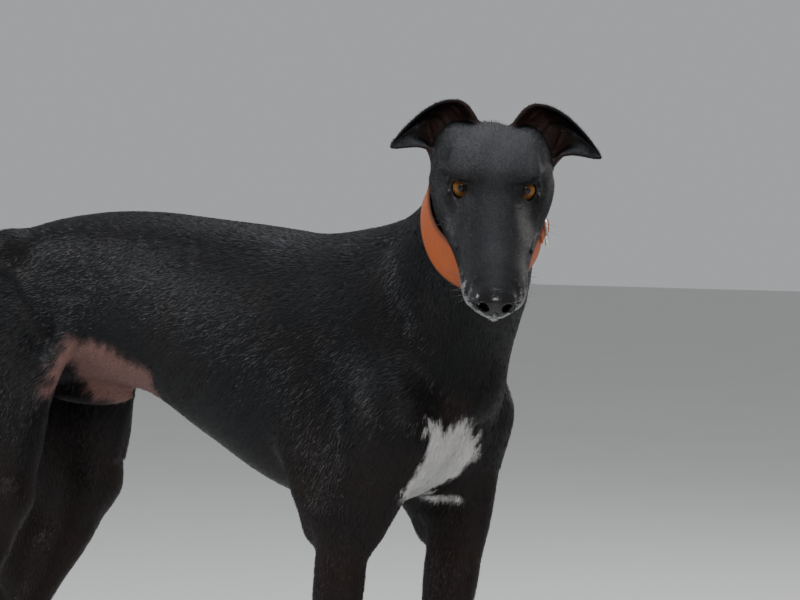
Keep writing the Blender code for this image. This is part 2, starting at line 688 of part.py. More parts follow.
def field_mesh(field, low, high, step):
    """Meshes the field's surface: one point in each cell that it crosses, moved onto the surface."""
    low = np.asarray(low, float)
    count = np.ceil((np.asarray(high) - low) / step).astype(int) + 1
    coarse = 4
    count = ((count + coarse - 1) // coarse) * coarse + 1
    axes = [low[i] + step * np.arange(count[i]) for i in range(3)]
    rough = np.stack(np.meshgrid(*[a[::coarse] for a in axes], indexing="ij"), -1)
    shape = rough.shape[:3]
    rough_value = field(rough.reshape(-1, 3)).reshape(shape)
    # Only blocks near the surface are worked out finely.
    near = np.abs(rough_value) < step * coarse * 1.9
    block = np.zeros([s - 1 for s in shape], bool)
    for di in (0, 1):
        for dj in (0, 1):
            for dk in (0, 1):
                block |= near[di : shape[0] - 1 + di, dj : shape[1] - 1 + dj, dk : shape[2] - 1 + dk]
    wanted = np.zeros(count, bool)
    for i, jj, k in np.argwhere(block):
        wanted[
            i * coarse : (i + 1) * coarse + 1,
            jj * coarse : (jj + 1) * coarse + 1,
            k * coarse : (k + 1) * coarse + 1,
        ] = True
    value = np.repeat(np.repeat(np.repeat(rough_value, coarse, 0), coarse, 1), coarse, 2)
    value = np.where(value[: count[0], : count[1], : count[2]] < 0, -FAR, FAR)
    index = np.argwhere(wanted)
    points = low + index * step
    value[tuple(index.T)] = field(points)

    cells = fill_doubtful(value)
    inside = value < 0
    cell_index = np.argwhere(cells)
    number = np.full(cells.shape, -1)
    number[tuple(cell_index.T)] = np.arange(len(cell_index))
    # Each cell's point is the mean of where its edges cross the surface.
    sums = np.zeros((len(cell_index), 3))
    hits = np.zeros(len(cell_index))
    for axis in range(3):
        others = [a for a in range(3) if a != axis]
        for o1 in (0, 1):
            for o2 in (0, 1):
                a = cell_index.copy()
                a[:, others[0]] += o1
                a[:, others[1]] += o2
                b = a.copy()
                b[:, axis] += 1
                va, vb = value[tuple(a.T)], value[tuple(b.T)]
                cross = (va < 0) != (vb < 0)
                t = np.where(cross, va / np.where(cross, va - vb, 1), 0)
                p = a.astype(float)
                p[:, axis] += t
                sums[cross] += p[cross]
                hits += cross
    verts = low + sums / hits[:, None] * step
    faces = []
    for axis in range(3):
        b1, b2 = (axis + 1) % 3, (axis + 2) % 3
        lo = [slice(None)] * 3
        hi = [slice(None)] * 3
        lo[axis], hi[axis] = slice(None, -1), slice(1, None)
        edge = inside[tuple(lo)] != inside[tuple(hi)]
        where = np.argwhere(edge)
        where = where[(where[:, b1] > 0) & (where[:, b2] > 0)]
        where = where[(where[:, b1] < count[b1] - 1) & (where[:, b2] < count[b2] - 1)]
        corner = []
        for o1, o2 in ((-1, -1), (0, -1), (0, 0), (-1, 0)):
            c = where.copy()
            c[:, b1] += o1
            c[:, b2] += o2
            corner.append(number[tuple(c.T)])
        quad = np.stack(corner, 1)
        flip = ~inside[tuple(where.T)]
        quad[flip] = quad[flip][:, ::-1]
        faces.append(quad)
    return verts, np.concatenate(faces)


def gradient(field, points, reach=0.0008):
    g = np.stack(
        [field(points + reach * np.eye(3)[i]) - field(points - reach * np.eye(3)[i]) for i in range(3)], -1
    )
    return g / (2 * reach)


def settle(field, points, rounds=2):
    """Moves points onto the field's surface."""
    for _ in range(rounds):
        g = gradient(field, points)
        size = np.maximum((g * g).sum(-1), 0.05)
        move = field(points) / size
        points = points - g * np.clip(move, -0.004, 0.004)[:, None]
    return points


def paint(name, colour, roughness, metallic=0.0):
    """A Principled material of its own for one node."""
    material = bpy.data.materials.new(name)
    material.use_nodes = True
    sockets = material.node_tree.nodes["Principled BSDF"].inputs
    sockets["Base Color"].default_value = (*colour, 1)
    sockets["Roughness"].default_value = roughness
    sockets["Metallic"].default_value = metallic
    return material


def add_object(name, verts, faces):
    mesh = bpy.data.meshes.new(name)
    mesh.from_pydata([tuple(v) for v in np.asarray(verts).tolist()], [], [list(f) for f in faces])
    mesh.update()
    piece = bpy.data.objects.new(name, mesh)
    bpy.context.scene.collection.objects.link(piece)
    return piece


def apply(piece, modifier):
    """Applies one modifier."""
    with bpy.context.temp_override(object=piece, active_object=piece, selected_objects=[piece]):
        bpy.ops.object.modifier_apply(modifier=modifier.name)


def boolean(piece, cutter, operation):
    modifier = piece.modifiers.new("part", "BOOLEAN")
    modifier.operation = operation
    modifier.solver = "EXACT"
    modifier.object = cutter
    apply(piece, modifier)


def remove(piece):
    mesh = piece.data
    bpy.data.objects.remove(piece)
    bpy.data.meshes.remove(mesh)


def cut(piece, cutter, operation="DIFFERENCE"):
    """Cuts with a piece that is only needed once."""
    boolean(piece, cutter, operation)
    remove(cutter)


def copy_of(piece, name):
    twin = piece.copy()
    twin.data = piece.data.copy()
    twin.name = name
    bpy.context.scene.collection.objects.link(twin)
    return twin


def islands(mesh):
    """The faces of each closed surface of a mesh, the largest first."""
    bm = bmesh.new()
    bm.from_mesh(mesh)
    seen = set()
    found = []
    for face in bm.faces:
        if face.index in seen:
            continue
        stack = [face]
        seen.add(face.index)
        group = []
        while stack:
            f = stack.pop()
            group.append(f.index)
            for edge in f.edges:
                for other in edge.link_faces:
                    if other.index not in seen:
                        seen.add(other.index)
                        stack.append(other)
        found.append(group)
    bm.free()
    return sorted(found, key=len, reverse=True)


def keep_island(piece, rank):
    """Leaves one closed surface: 0 is the largest, 1 the next."""
    groups = islands(piece.data)
    bm = bmesh.new()
    bm.from_mesh(piece.data)
    bm.faces.ensure_lookup_table()
    rest = [bm.faces[i] for k, group in enumerate(groups) if k != rank for i in group]
    bmesh.ops.delete(bm, geom=rest, context="FACES")
    bmesh.ops.delete(bm, geom=[v for v in bm.verts if not v.link_faces], context="VERTS")
    bmesh.ops.triangulate(bm, faces=bm.faces)
    bm.to_mesh(piece.data)
    bm.free()
    piece.data.update()


def keep_largest(piece):
    keep_island(piece, 0)
    heal(piece)


def open_edges(bm):
    return [e for e in bm.edges if len(e.link_faces) != 2]


def heal(piece):
    """Merges points that a cut left almost on top of each other, where that keeps the surface closed."""
    for reach in (0.00005, 0.00002, 0.00001):
        bm = bmesh.new()
        bm.from_mesh(piece.data)
        bmesh.ops.remove_doubles(bm, verts=bm.verts, dist=reach)
        bmesh.ops.dissolve_degenerate(bm, dist=reach, edges=bm.edges)
        bmesh.ops.triangulate(bm, faces=bm.faces)
        if not open_edges(bm):
            bm.to_mesh(piece.data)
            bm.free()
            break
        bm.free()
    piece.data.update()


def thin(piece, faces):
    """Thins a mesh to about so many triangles, and keeps more of them where it bends."""
    modifier = piece.modifiers.new("thin", "DECIMATE")
    modifier.ratio = faces / (2 * len(piece.data.polygons))
    apply(piece, modifier)


def frame_matrix(point, along, up=(0, 0, 1)):
    """Axes at a point, with the first one along a direction."""
    e1 = unit(along)
    e3 = np.asarray(up, float)
    e3 = unit(e3 - e1 * (e3 @ e1))
    e2 = np.cross(e3, e1)
    matrix = np.stack([e1, e2, e3], 1)
    return lambda local: np.asarray(local, float) @ matrix.T + np.asarray(point, float)


def prism(name, outline, low, high, place):
    """A flat outline, in the second and third axes of a place, drawn out along the first."""
    count = len(outline)
    verts = [(low, y, z) for y, z in outline] + [(high, y, z) for y, z in outline]
    faces = [tuple(range(count))[::-1], tuple(range(count, 2 * count))]
    faces += [(i, (i + 1) % count, (i + 1) % count + count, i + count) for i in range(count)]
    return add_object(name, place(verts), faces)


def round_outline(radius, count=40, wide=1.0):
    turn = [2 * math.pi * i / count for i in range(count)]
    return [(radius * wide * math.cos(a), radius * math.sin(a)) for a in turn]


def globe(name, centre, radius, level):
    """A ball of near-equal triangles."""
    bm = bmesh.new()
    bmesh.ops.create_icosphere(bm, subdivisions=level, radius=radius)
    mesh = bpy.data.meshes.new(name)
    bm.to_mesh(mesh)
    bm.free()
    piece = bpy.data.objects.new(name, mesh)
    mesh.transform(Matrix.Translation(Vector(centre)))
    bpy.context.scene.collection.objects.link(piece)
    return piece


def almond(width, height, count=9):
    """The outline of the open lids: two arcs that meet at the corners."""
    radius = (width * width + height * height) / (4 * height)
    half = math.asin(width / 2 / radius)
    drop = radius - height / 2
    turn = [half * (1 - 2 * i / count) for i in range(count + 1)]
    upper = [(radius * math.sin(a), radius * math.cos(a) - drop) for a in turn]
    return upper + [(-y, -z) for y, z in upper[1:-1]]


def arc(centre, start, stop, grow, count=14):
    x, z, radius = centre
    turn = np.radians(np.linspace(start, stop, count))
    return [(x + (radius + grow) * math.cos(a), z + (radius + grow) * math.sin(a)) for a in turn]


def fore_outline(grow):
    top = arc(FORE_TOP, 40, 180, grow)
    left = FORE_TOP[0] - FORE_TOP[2] - grow
    return [(0.330, -0.05), (0.330, 0.470 + grow)] + top + [(left, 0.30), (left - 0.02, -0.05)]


def hind_outline(grow):
    top = arc(HIND_TOP, 0, 125, grow)
    front = HIND_TOP[0] + HIND_TOP[2] + grow
    lead = [(-0.150, -0.05), (-0.205 + grow, 0.340), (front + 0.026, 0.440)]
    return lead + top + [(-0.520, 0.600 + grow), (-0.680, 0.560 + grow), (-0.680, -0.05)]


def leg_cutter(name, outline, inner, low_top, reach, grow, side):
    """The block of space that one leg takes up, made larger by grow."""
    place = frame_matrix((0, 0, 0), (0, side, 0))
    flat = [(-x * side, z) for x, z in outline(grow)]
    block = prism(name, flat, inner - grow, 0.30, place)
    low, high = reach
    low_edge, high_edge = (low, low_top + grow), (high, low_top + grow)
    box = [(-x * side, z) for x, z in ((low, -0.05), (high, -0.05), high_edge, low_edge)]
    cut(block, prism("lower", box, 0.003 - grow, 0.29, place), "UNION")
    bm = bmesh.new()
    bm.from_mesh(block.data)
    bmesh.ops.recalc_face_normals(bm, faces=bm.faces)
    bm.to_mesh(block.data)
    bm.free()
    return block


def fix_normals(piece):
    bm = bmesh.new()
    bm.from_mesh(piece.data)
    bmesh.ops.recalc_face_normals(bm, faces=bm.faces)
    bm.to_mesh(piece.data)
    bm.free()


def slab(name, point, way, radius, low, high):
    """A round slab across a direction, from low to high along it."""
    return prism(name, round_outline(radius), low, high, frame_matrix(point, way, (0.1, 0.0, 1.0)))


def mesh_of(name, field, low, high, step, faces):
    """A closed, thinned mesh of a field."""
    verts, quads = field_mesh(field, low, high, step)
    piece = add_object(name, settle(field, verts), quads)
    keep_quads(piece)
    thin(piece, faces)
    return piece


def keep_quads(piece):
    """Leaves only the largest surface of a mesh of quads."""
    groups = islands(piece.data)
    if len(groups) == 1:
        return
    bm = bmesh.new()
    bm.from_mesh(piece.data)
    bm.faces.ensure_lookup_table()
    rest = [bm.faces[i] for group in groups[1:] for i in group]
    bmesh.ops.delete(bm, geom=rest, context="FACES")
    bmesh.ops.delete(bm, geom=[v for v in bm.verts if not v.link_faces], context="VERTS")
    bm.to_mesh(piece.data)
    bm.free()


def claw(name, root, side_turn, size=1.0):
    """A curved, tapering claw with a blunt tip."""
    rings, count = 4, 6
    verts = []
    for i in range(rings):
        t = i / (rings - 1)
        radius = CLAW_RADIUS * size * (1 - 0.72 * t ** 1.3)
        lean = math.radians(18 + 42 * t)
        ahead = CLAW_LENGTH * size * (t - 0.15 * t * t)
        drop = CLAW_LENGTH * size * (0.30 * t + 0.38 * t * t)
        for k in range(count):
            a = 2 * math.pi * k / count
            up = radius * 1.15 * math.cos(a)
            across = radius * 0.85 * math.sin(a)
            verts.append((ahead + up * math.sin(lean), across, -drop + up * math.cos(lean)))
    faces = [tuple(range(count))[::-1], tuple(range((rings - 1) * count, rings * count))]
    for i in range(rings - 1):
        for k in range(count):
            a, b = i * count + k, i * count + (k + 1) % count
            faces.append((a, b, b + count, a + count))
    turn = Matrix.Rotation(side_turn, 3, "Z")
    points = [np.array(turn @ Vector(v)) + root for v in verts]
    piece = add_object(name, points, faces)
    fix_normals(piece)
    return piece


def claw_roots(side):
    """Root, turn and size of each claw on the two feet of one side."""
    found = []
    for joints, size in ((fore_joints(side), 0.95), (hind_joints(side), 0.92)):
        claws = []
        for (_, _, tip), (across, _, _) in zip(toe_points(joints["knuckle"], side, size), TOES):
            claws.append((tip + (0.0045, 0, 0.0030), across * side * 5.0, 1.0))
        found.append(claws)
    return found


def collar_place():
    return frame_matrix(COLLAR_AT, COLLAR_WAY)


def collar_radius(pieces, turns, along):
    """The distance of the finished neck and head from the collar's axis, for each turn and place along it."""
    place = collar_place()
    trees = []
    for piece in pieces:
        points = [v.co for v in piece.data.vertices]
        trees.append(BVHTree.FromPolygons(points, [f.vertices for f in piece.data.polygons]))
    radius = np.zeros((len(turns), len(along)))
    for i, turn in enumerate(turns):
        for k, a in enumerate(along):
            start = Vector(place((a, 0.16 * math.cos(turn), 0.16 * math.sin(turn))))
            way = Vector(place((a, 0, 0))) - start
            for tree in trees:
                hit = tree.ray_cast(start, way.normalized(), 0.16)
                if hit[0] is not None:
                    radius[i, k] = max(radius[i, k], 0.16 - hit[3])
    return radius


def make_collar(pieces):
    """A flat leather band, fitted to the neck."""
    turns = np.linspace(0, 2 * math.pi, COLLAR_TURNS, endpoint=False)
    half = COLLAR_WIDE / 2
    along = np.array((-half, -half * 0.33, half * 0.33, half))
    # Each point takes the widest place of the patch around it, so that the band clears the neck.
    fine_turns = np.linspace(0, 2 * math.pi, 4 * COLLAR_TURNS, endpoint=False)
    fine_along = np.linspace(-half, half, 13)
    fine = collar_radius(pieces, fine_turns, fine_along)
    for _ in range(3):
        fine = np.maximum(fine, np.maximum(np.roll(fine, 1, 0), np.roll(fine, -1, 0)))
    inner = np.stack(
        [fine[::4, :3].max(1), fine[::4, 2:7].max(1), fine[::4, 6:11].max(1), fine[::4, 10:].max(1)],
        1,
    )
    # Leather bridges the hollows: each place takes the mean of its neighbours where that is wider.
    for _ in range(30):
        mean = (np.roll(inner, 1, 0) + np.roll(inner, -1, 0)) / 2
        inner = np.maximum(inner, mean)
    inner = inner / math.cos(math.pi / COLLAR_TURNS) + 0.0005
    edge = 0.0010
    ring = []
    for a, k, out in (
        (-half, 0, 0),
        (-half * 0.33, 1, 0),
        (half * 0.33, 2, 0),
        (half, 3, 0),
        (half, 3, COLLAR_THICK - edge),
        (half - edge, 3, COLLAR_THICK),
        (half * 0.33, 2, COLLAR_THICK),
        (-half * 0.33, 1, COLLAR_THICK),
        (edge - half, 0, COLLAR_THICK),
        (-half, 0, COLLAR_THICK - edge),
    ):
        r = inner[:, k] + out
        ring.append(np.stack([np.full(len(r), a), r * np.cos(turns), r * np.sin(turns)], -1))
    ring = np.stack(ring, 1)
    count, around = ring.shape[:2]
    verts = collar_place()(ring.reshape(-1, 3))
    faces = []
    for i in range(count):
        for k in range(around):
            a, b = i * around + k, i * around + (k + 1) % around
            c, d = (i + 1) % count * around + (k + 1) % around, (i + 1) % count * around + k
            faces.append((a, b, c, d))
    piece = add_object("collar", verts, faces)
    fix_normals(piece)
    return piece, (along, inner + COLLAR_THICK)


def on_collar(outer, along, round_way, out):
    """A point over the collar's outer face, from how far it lies along, around and out of it."""
    stations, radii = outer
    turns = np.linspace(0, 2 * math.pi, len(radii) + 1)
    closed = np.vstack([radii, radii[:1]])
    turn = RING_TURN + round_way / 0.055
    row = [np.interp(turn % (2 * math.pi), turns, column) for column in closed.T]
    radius = np.interp(along, stations, row) + out
    return collar_place()((along, radius * math.cos(turn), radius * math.sin(turn)))


def make_tab(outer):
    """The leather tab, with a tunnel for the ring's bar."""
    hole = RING_WIRE + GAP
    rise = GAP + RING_WIRE
    turn = np.linspace(0, math.pi, 9)
    under = [(hole * math.cos(a), rise + hole * math.sin(a)) for a in turn]
    over = [((hole + TAB_THICK) * math.cos(a), rise + (hole + TAB_THICK) * math.sin(a)) for a in turn[::-1]]
    left = [
        (-hole, GAP), (-TAB_LONG, GAP), (-TAB_LONG, GAP + TAB_THICK),
        (-hole - TAB_THICK, GAP + TAB_THICK + 0.0004),
    ]
    right = [(-y, z) for y, z in left[::-1]]
    outline = under + left + over + right
    count = len(outline)
    verts = [on_collar(outer, a, y, z) for a in (-TAB_HALF, TAB_HALF) for y, z in outline]
    faces = [tuple(range(count))[::-1], tuple(range(count, 2 * count))]
    faces += [(i, (i + 1) % count, (i + 1) % count + count, i + count) for i in range(count)]
    piece = add_object("collar_tab", verts, faces)
    bm = bmesh.new()
    bm.from_mesh(piece.data)
    bmesh.ops.triangulate(bm, faces=bm.faces)
    bm.to_mesh(piece.data)
    bm.free()
    fix_normals(piece)
    return piece


def make_ring(outer):
    """A ring shaped like a D, whose straight bar lies in the tab's tunnel."""
    rise = GAP + RING_WIRE
    start = (on_collar(outer, -TAB_HALF, 0, rise) + on_collar(outer, TAB_HALF, 0, rise)) / 2
    along = unit(on_collar(outer, TAB_HALF, 0, rise) - on_collar(outer, -TAB_HALF, 0, rise))
    out = unit(on_collar(outer, 0, 0, 0.02) - start)
    # It hangs down and stands a little off the leather.
    down = np.array((0, 0, -1.0))
    down = unit(down - along * (down @ along))
    down = unit(down - out * (down @ out))
    down = unit(down + 0.30 * out)
    path = [(-RING_HALF + 0.001, 0), (0, 0), (RING_HALF - 0.001, 0)]
    path += [(RING_HALF * math.cos(a), 0.0030 + RING_HANG * math.sin(a)) for a in np.linspace(0, math.pi, 13)]
    path = np.array(path)
    middle = start + path[:, :1] * along + path[:, 1:] * down
    side = np.cross(along, down)
    count, around = len(middle), 8
    verts = []
    for i in range(count):
        way = unit(middle[(i + 1) % count] - middle[i - 1])
        flat = unit(np.cross(side, way))
        for k in range(around):
            a = 2 * math.pi * k / around
            verts.append(middle[i] + RING_WIRE * (math.cos(a) * side + math.sin(a) * flat))
    faces = []
    for i in range(count):
        for k in range(around):
            a, b = i * around + k, i * around + (k + 1) % around
            c, d = (i + 1) % count * around + (k + 1) % around, (i + 1) % count * around + k
            faces.append((a, b, c, d))
    piece = add_object("collar_ring", verts, faces)
    fix_normals(piece)
    return piece


def build():
    for piece in list(bpy.data.objects):
        bpy.data.objects.remove(piece)
    flesh = make_flesh()
    head_point = on_head(*HEAD_CUT)
    head_way = np.array(HEAD_CUT_WAY) @ HEAD_AXES

    # The body up to just past the head cut.
    body_field = Field()
    body_field.forms = list(flesh.forms)
    body_field.keep_behind(head_point + head_way * 0.012, head_way)
    body = mesh_of("torso", body_field, (-0.70, -0.22, -0.02), (0.52, 0.16, 0.90), 0.0034, 5400)
    fix_normals(body)
    level_place = frame_matrix((0, 0, 0), (1, 0, 0))
    cut(
        body,
        prism("floor", [(-0.5, -0.5), (0.5, -0.5), (0.5, 0.0), (-0.5, 0.0)], -1, 1, level_place),
    )
    for side in (1, -1):
        for claws in claw_roots(side):
            for root, turn, size in claws:
                cut(body, claw("claw", root, turn, size), "UNION")
    cut(body, slab("head cut", head_point, head_way, 0.30, -GAP / 2, 0.05))
    keep_largest(body)

    pieces = {}
    spaces = {"foreleg_": (fore_outline, *FORE_SPACE), "hindleg_": (hind_outline, *HIND_SPACE)}
    for side, word in ((1, "left"), (-1, "right")):
        for which, space in spaces.items():
            leg = copy_of(body, which + word)
            cut(leg, leg_cutter("space", *space, 0.0, side), "INTERSECT")
            keep_largest(leg)
            pieces[which + word] = leg
    for side in (1, -1):
        for space in spaces.values():
            cut(body, leg_cutter("space", *space, GAP, side))
    neck = copy_of(body, "neck")
    cut(neck, slab("neck side", NECK_CUT, NECK_CUT_WAY, 0.5, GAP / 2, 0.6), "INTERSECT")
    keep_largest(neck)
    pieces["neck"] = neck
    cut(body, slab("neck side", NECK_CUT, NECK_CUT_WAY, 0.5, -GAP / 2, 0.6))
    # A disc as thin as the gap sets the tail free.
    cut(body, slab("tail root", TAIL_CUT, TAIL_CUT_WAY, TAIL_CUT_RADIUS, -GAP / 2, GAP / 2))
    tail = copy_of(body, "tail")
    keep_island(tail, 1)
    pieces["tail"] = tail
    keep_largest(body)
    pieces["torso"] = body

    # The head, with the seats of the ears, the eyes' sockets, the lids, the nostrils and the lips.
    head_field = Field()
    head_field.forms = list(flesh.forms)
    head_field.keep_behind(head_point - head_way * 0.012, -head_way)
    low, high = HEAD_AT - 0.19, HEAD_AT + 0.19
    head = mesh_of("head", head_field, low, high, 0.0025, 3000)
    fix_normals(head)
    cut(head, slab("head cut", head_point, head_way, 0.30, -0.05, GAP / 2))
    for side, word in ((1, "left"), (-1, "right")):
        seat = from_level(EAR_SEAT, side)
        lean = from_level(np.array(EAR_LEAN), side) - HEAD_AT
        cut(head, slab("seat", seat, lean, SEAT_RADIUS, 0.0, 0.03))
        ear_field = Field()
        ear_field.forms = list(flesh.forms)
        add_ear(ear_field, side)
        ear_field.keep_behind(seat - unit(lean) * 0.006, -lean)
        ear = mesh_of("ear_" + word, ear_field, seat - 0.075, seat + 0.075, 0.0013, 600)
        fix_normals(ear)
        cut(ear, slab("ear side", seat, lean, 0.2, GAP, 0.2), "INTERSECT")
        cut(ear, slab("head cut", head_point, head_way, 0.30, -0.05, GAP / 2))
        keep_largest(ear)
        pieces["ear_" + word] = ear

        gaze, out, up = eye_axes(side)
        centre = eye_at(side)
        cut(head, globe("socket", centre, EYE_RADIUS + 0.0005, 3))
        place = frame_matrix(centre, gaze, up)
        cut(head, prism("opening", almond(EYE_WIDE, EYE_HIGH), 0.002, 0.05, place))
        pieces["eye_" + word] = globe("eye_" + word, centre, EYE_RADIUS, 3)
        cut(head, nostril(side))
    cut(head, lip_blade())
    keep_largest(head)
    pieces["head"] = head
    pieces["collar"], outer = make_collar([neck, head])
    pieces["collar_tab"] = make_tab(outer)
    pieces["collar_ring"] = make_ring(outer)
    return pieces


def nostril(side):
    """A rounded hole with a slit that runs out and back from it."""
    hole = globe("nostril", (0, 0, 0), 1.0, 2)
    ahead, across, up = NOSTRIL
    for v in hole.data.vertices:
        local = np.array(v.co) * NOSTRIL_RADII
        # The outer end of the hole curves upward, as a comma does.
        local[2] += 60 * local[1] ** 2
        v.co = on_head(*(local + np.array((ahead, side * across, up))))
    return hole


def lip_outline():
    """The edge of the lips seen from above, from one corner of the mouth round to the other."""
    x, top, bottom, wide, egg = (np.array([s[i] for s in SKULL]) for i in range(1, 6))
    found = []
    for ahead, height in LIPS:
        half = (hermite(ahead, x, top) - hermite(ahead, x, bottom)) / 2
        middle = (hermite(ahead, x, top) + hermite(ahead, x, bottom)) / 2
        up = min(max((height - middle) / half, -0.98), 0.98)
        reach = hermite(ahead, x, wide) * (1 + hermite(ahead, x, egg) * up)
        found.append((ahead, reach * math.sqrt(1 - up * up), height))
    return found


def lip_blade():
    """A thin blade that cuts the line of the mouth."""
    right = [(a, -w, h) for a, w, h in lip_outline()[:-1]]
    left = [(a, w, h) for a, w, h in reversed(lip_outline()[:-1])]
    front = LIPS[-1]
    path = right + [(front[0] - 0.010, -0.006, front[1]), (front[0] - 0.010, 0.006, front[1])] + left
    verts = []
    for ahead, across, height in path:
        way = unit((max(ahead - 0.118, 0) * 2.0, across, 0)) if abs(across) > 0 else np.array((1, 0, 0))
        for reach, rise in ((-LIP_DEPTH, 0.0001), (0.012, 0.0016), (0.012, -0.0006), (-LIP_DEPTH, -0.0001)):
            verts.append(np.array((ahead, across, height)) + way * reach + (0, 0, rise))
    faces = [(3, 2, 1, 0)]
    last = len(verts) - 4
    faces.append((last, last + 1, last + 2, last + 3))
    for i in range(len(path) - 1):
        for k in range(4):
            a, b = i * 4 + k, i * 4 + (k + 1) % 4
            faces.append((a, b, b + 4, a + 4))
    piece = add_object("mouth", [on_head(*v) for v in verts], faces)
    fix_normals(piece)
    return piece


def finish(pieces):
    for name, piece in pieces.items():
        piece.name = name
        piece.data.name = name
        piece.data.transform(Matrix.Translation(-ORIGIN))
        piece.data.materials.clear()
        piece.data.materials.append(paint(name, *LOOKS[name]))
        piece.data.update()


finish(build())
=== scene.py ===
# %% [markdown]
# # A greyhound that stands and looks round
#
# This lesson dresses a plain solid model of a greyhound. The solids were made first, as closed
# shapes for physics, and they stay hidden behind the looks. Here the dog gets one unbroken skin,
# short glossy fur, wet eyes, a leathery nose, claws and whiskers, and a worn leather collar.
#
# Everything is in metres, with Z up. We first load the solids as a fixed frame. The looks may not
# change the dog's size: at most a few millimetres of hair, or of the nose's end, stand outside it.

# %% Load the solid frame
import json
import math

import bmesh
import bpy
import numpy as np
from mathutils import Matrix, Vector
from mathutils.bvhtree import BVHTree

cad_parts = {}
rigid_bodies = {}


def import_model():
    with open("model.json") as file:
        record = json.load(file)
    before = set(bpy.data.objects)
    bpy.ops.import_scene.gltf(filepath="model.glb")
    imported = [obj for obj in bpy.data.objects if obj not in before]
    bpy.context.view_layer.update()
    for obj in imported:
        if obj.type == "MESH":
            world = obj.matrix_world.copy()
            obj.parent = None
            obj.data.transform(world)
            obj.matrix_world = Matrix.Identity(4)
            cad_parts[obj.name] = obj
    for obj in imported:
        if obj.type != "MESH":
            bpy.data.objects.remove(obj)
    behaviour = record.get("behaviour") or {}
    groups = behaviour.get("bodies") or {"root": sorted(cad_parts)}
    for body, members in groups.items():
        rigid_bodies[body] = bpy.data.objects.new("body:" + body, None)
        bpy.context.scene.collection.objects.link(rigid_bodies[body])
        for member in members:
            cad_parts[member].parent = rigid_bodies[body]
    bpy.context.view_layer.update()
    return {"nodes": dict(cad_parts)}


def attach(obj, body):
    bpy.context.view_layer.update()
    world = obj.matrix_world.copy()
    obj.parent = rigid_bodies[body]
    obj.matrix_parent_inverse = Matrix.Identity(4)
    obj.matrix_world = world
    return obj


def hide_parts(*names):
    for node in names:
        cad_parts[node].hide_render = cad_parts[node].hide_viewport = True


for leftover in list(bpy.data.objects):
    bpy.data.objects.remove(leftover)
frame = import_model()
# Where the model's origin lies in the dog's own body frame, which all the sizes below are in.
ORIGIN = np.array((-0.0686, -0.0807, 0.0))
rng = np.random.default_rng(7)
print("nodes:", sorted(frame["nodes"]))

# %% [markdown]
# ## Camera, light and floor
#
# The photograph was taken from the dog's right front, a little above its back, with a long lens
# that flattens the view. The camera's place is given as an angle round the dog, a distance and a
# height. Big soft lights suit a black coat: fur this dark shows its form only by what it mirrors.

# %% Stand the camera where the photograph was taken
VIEW_TURN = math.radians(53)
VIEW_CENTRE = 0.17
VIEW_FAR = 2.60
VIEW_HIGH = 0.725
VIEW_DIP = math.radians(2.5)
SENSOR = 36.0
PICTURE_WIDE = 800
PIXELS_PER_SLOPE = 2600.0
SHIFT_PIXELS = -4
VIEW_END = 50

toward = np.array((math.cos(VIEW_TURN), -math.sin(VIEW_TURN), 0.0))
camera_at = np.array((VIEW_CENTRE, 0.0, VIEW_HIGH)) + toward * VIEW_FAR - ORIGIN
lens = bpy.data.cameras.new("camera")
lens.sensor_width = SENSOR
lens.lens = PIXELS_PER_SLOPE / PICTURE_WIDE * SENSOR
lens.shift_x = SHIFT_PIXELS / PICTURE_WIDE
lens.clip_end = VIEW_END
camera = bpy.data.objects.new("camera", lens)
camera.location = camera_at
camera.rotation_euler = (math.radians(90) - VIEW_DIP, 0, math.radians(90) - VIEW_TURN)
bpy.context.scene.collection.objects.link(camera)
bpy.context.scene.camera = camera
print("camera at", camera_at.round(3), "lens", round(lens.lens, 1), "mm")


# %% One wrapper makes shader maths read like arithmetic
class Value:
    """A socket that can be added, multiplied and so on, each time adding a node."""

    def __init__(self, paint, socket):
        self.paint = paint
        self.socket = socket

    def math(self, operation, *others):
        return self.paint.node("ShaderNodeMath", {"operation": operation}, dict(enumerate((self, *others))))

    def __add__(self, other):
        return self.math("ADD", other)

    def __sub__(self, other):
        return self.math("SUBTRACT", other)

    def __rsub__(self, other):
        return self.paint.node("ShaderNodeMath", {"operation": "SUBTRACT"}, {0: other, 1: self})

    def __mul__(self, other):
        return self.math("MULTIPLY", other)

    __radd__ = __add__
    __rmul__ = __mul__

    def clip(self):
        return self.paint.node("ShaderNodeClamp", {}, {0: self})

    def step(self, low, high):
        """0 below low, 1 above high, and smooth between."""
        settings = {"interpolation_type": "SMOOTHSTEP"}
        return self.paint.node("ShaderNodeMapRange", settings, {0: self, 1: low, 2: high, 3: 0.0, 4: 1.0})


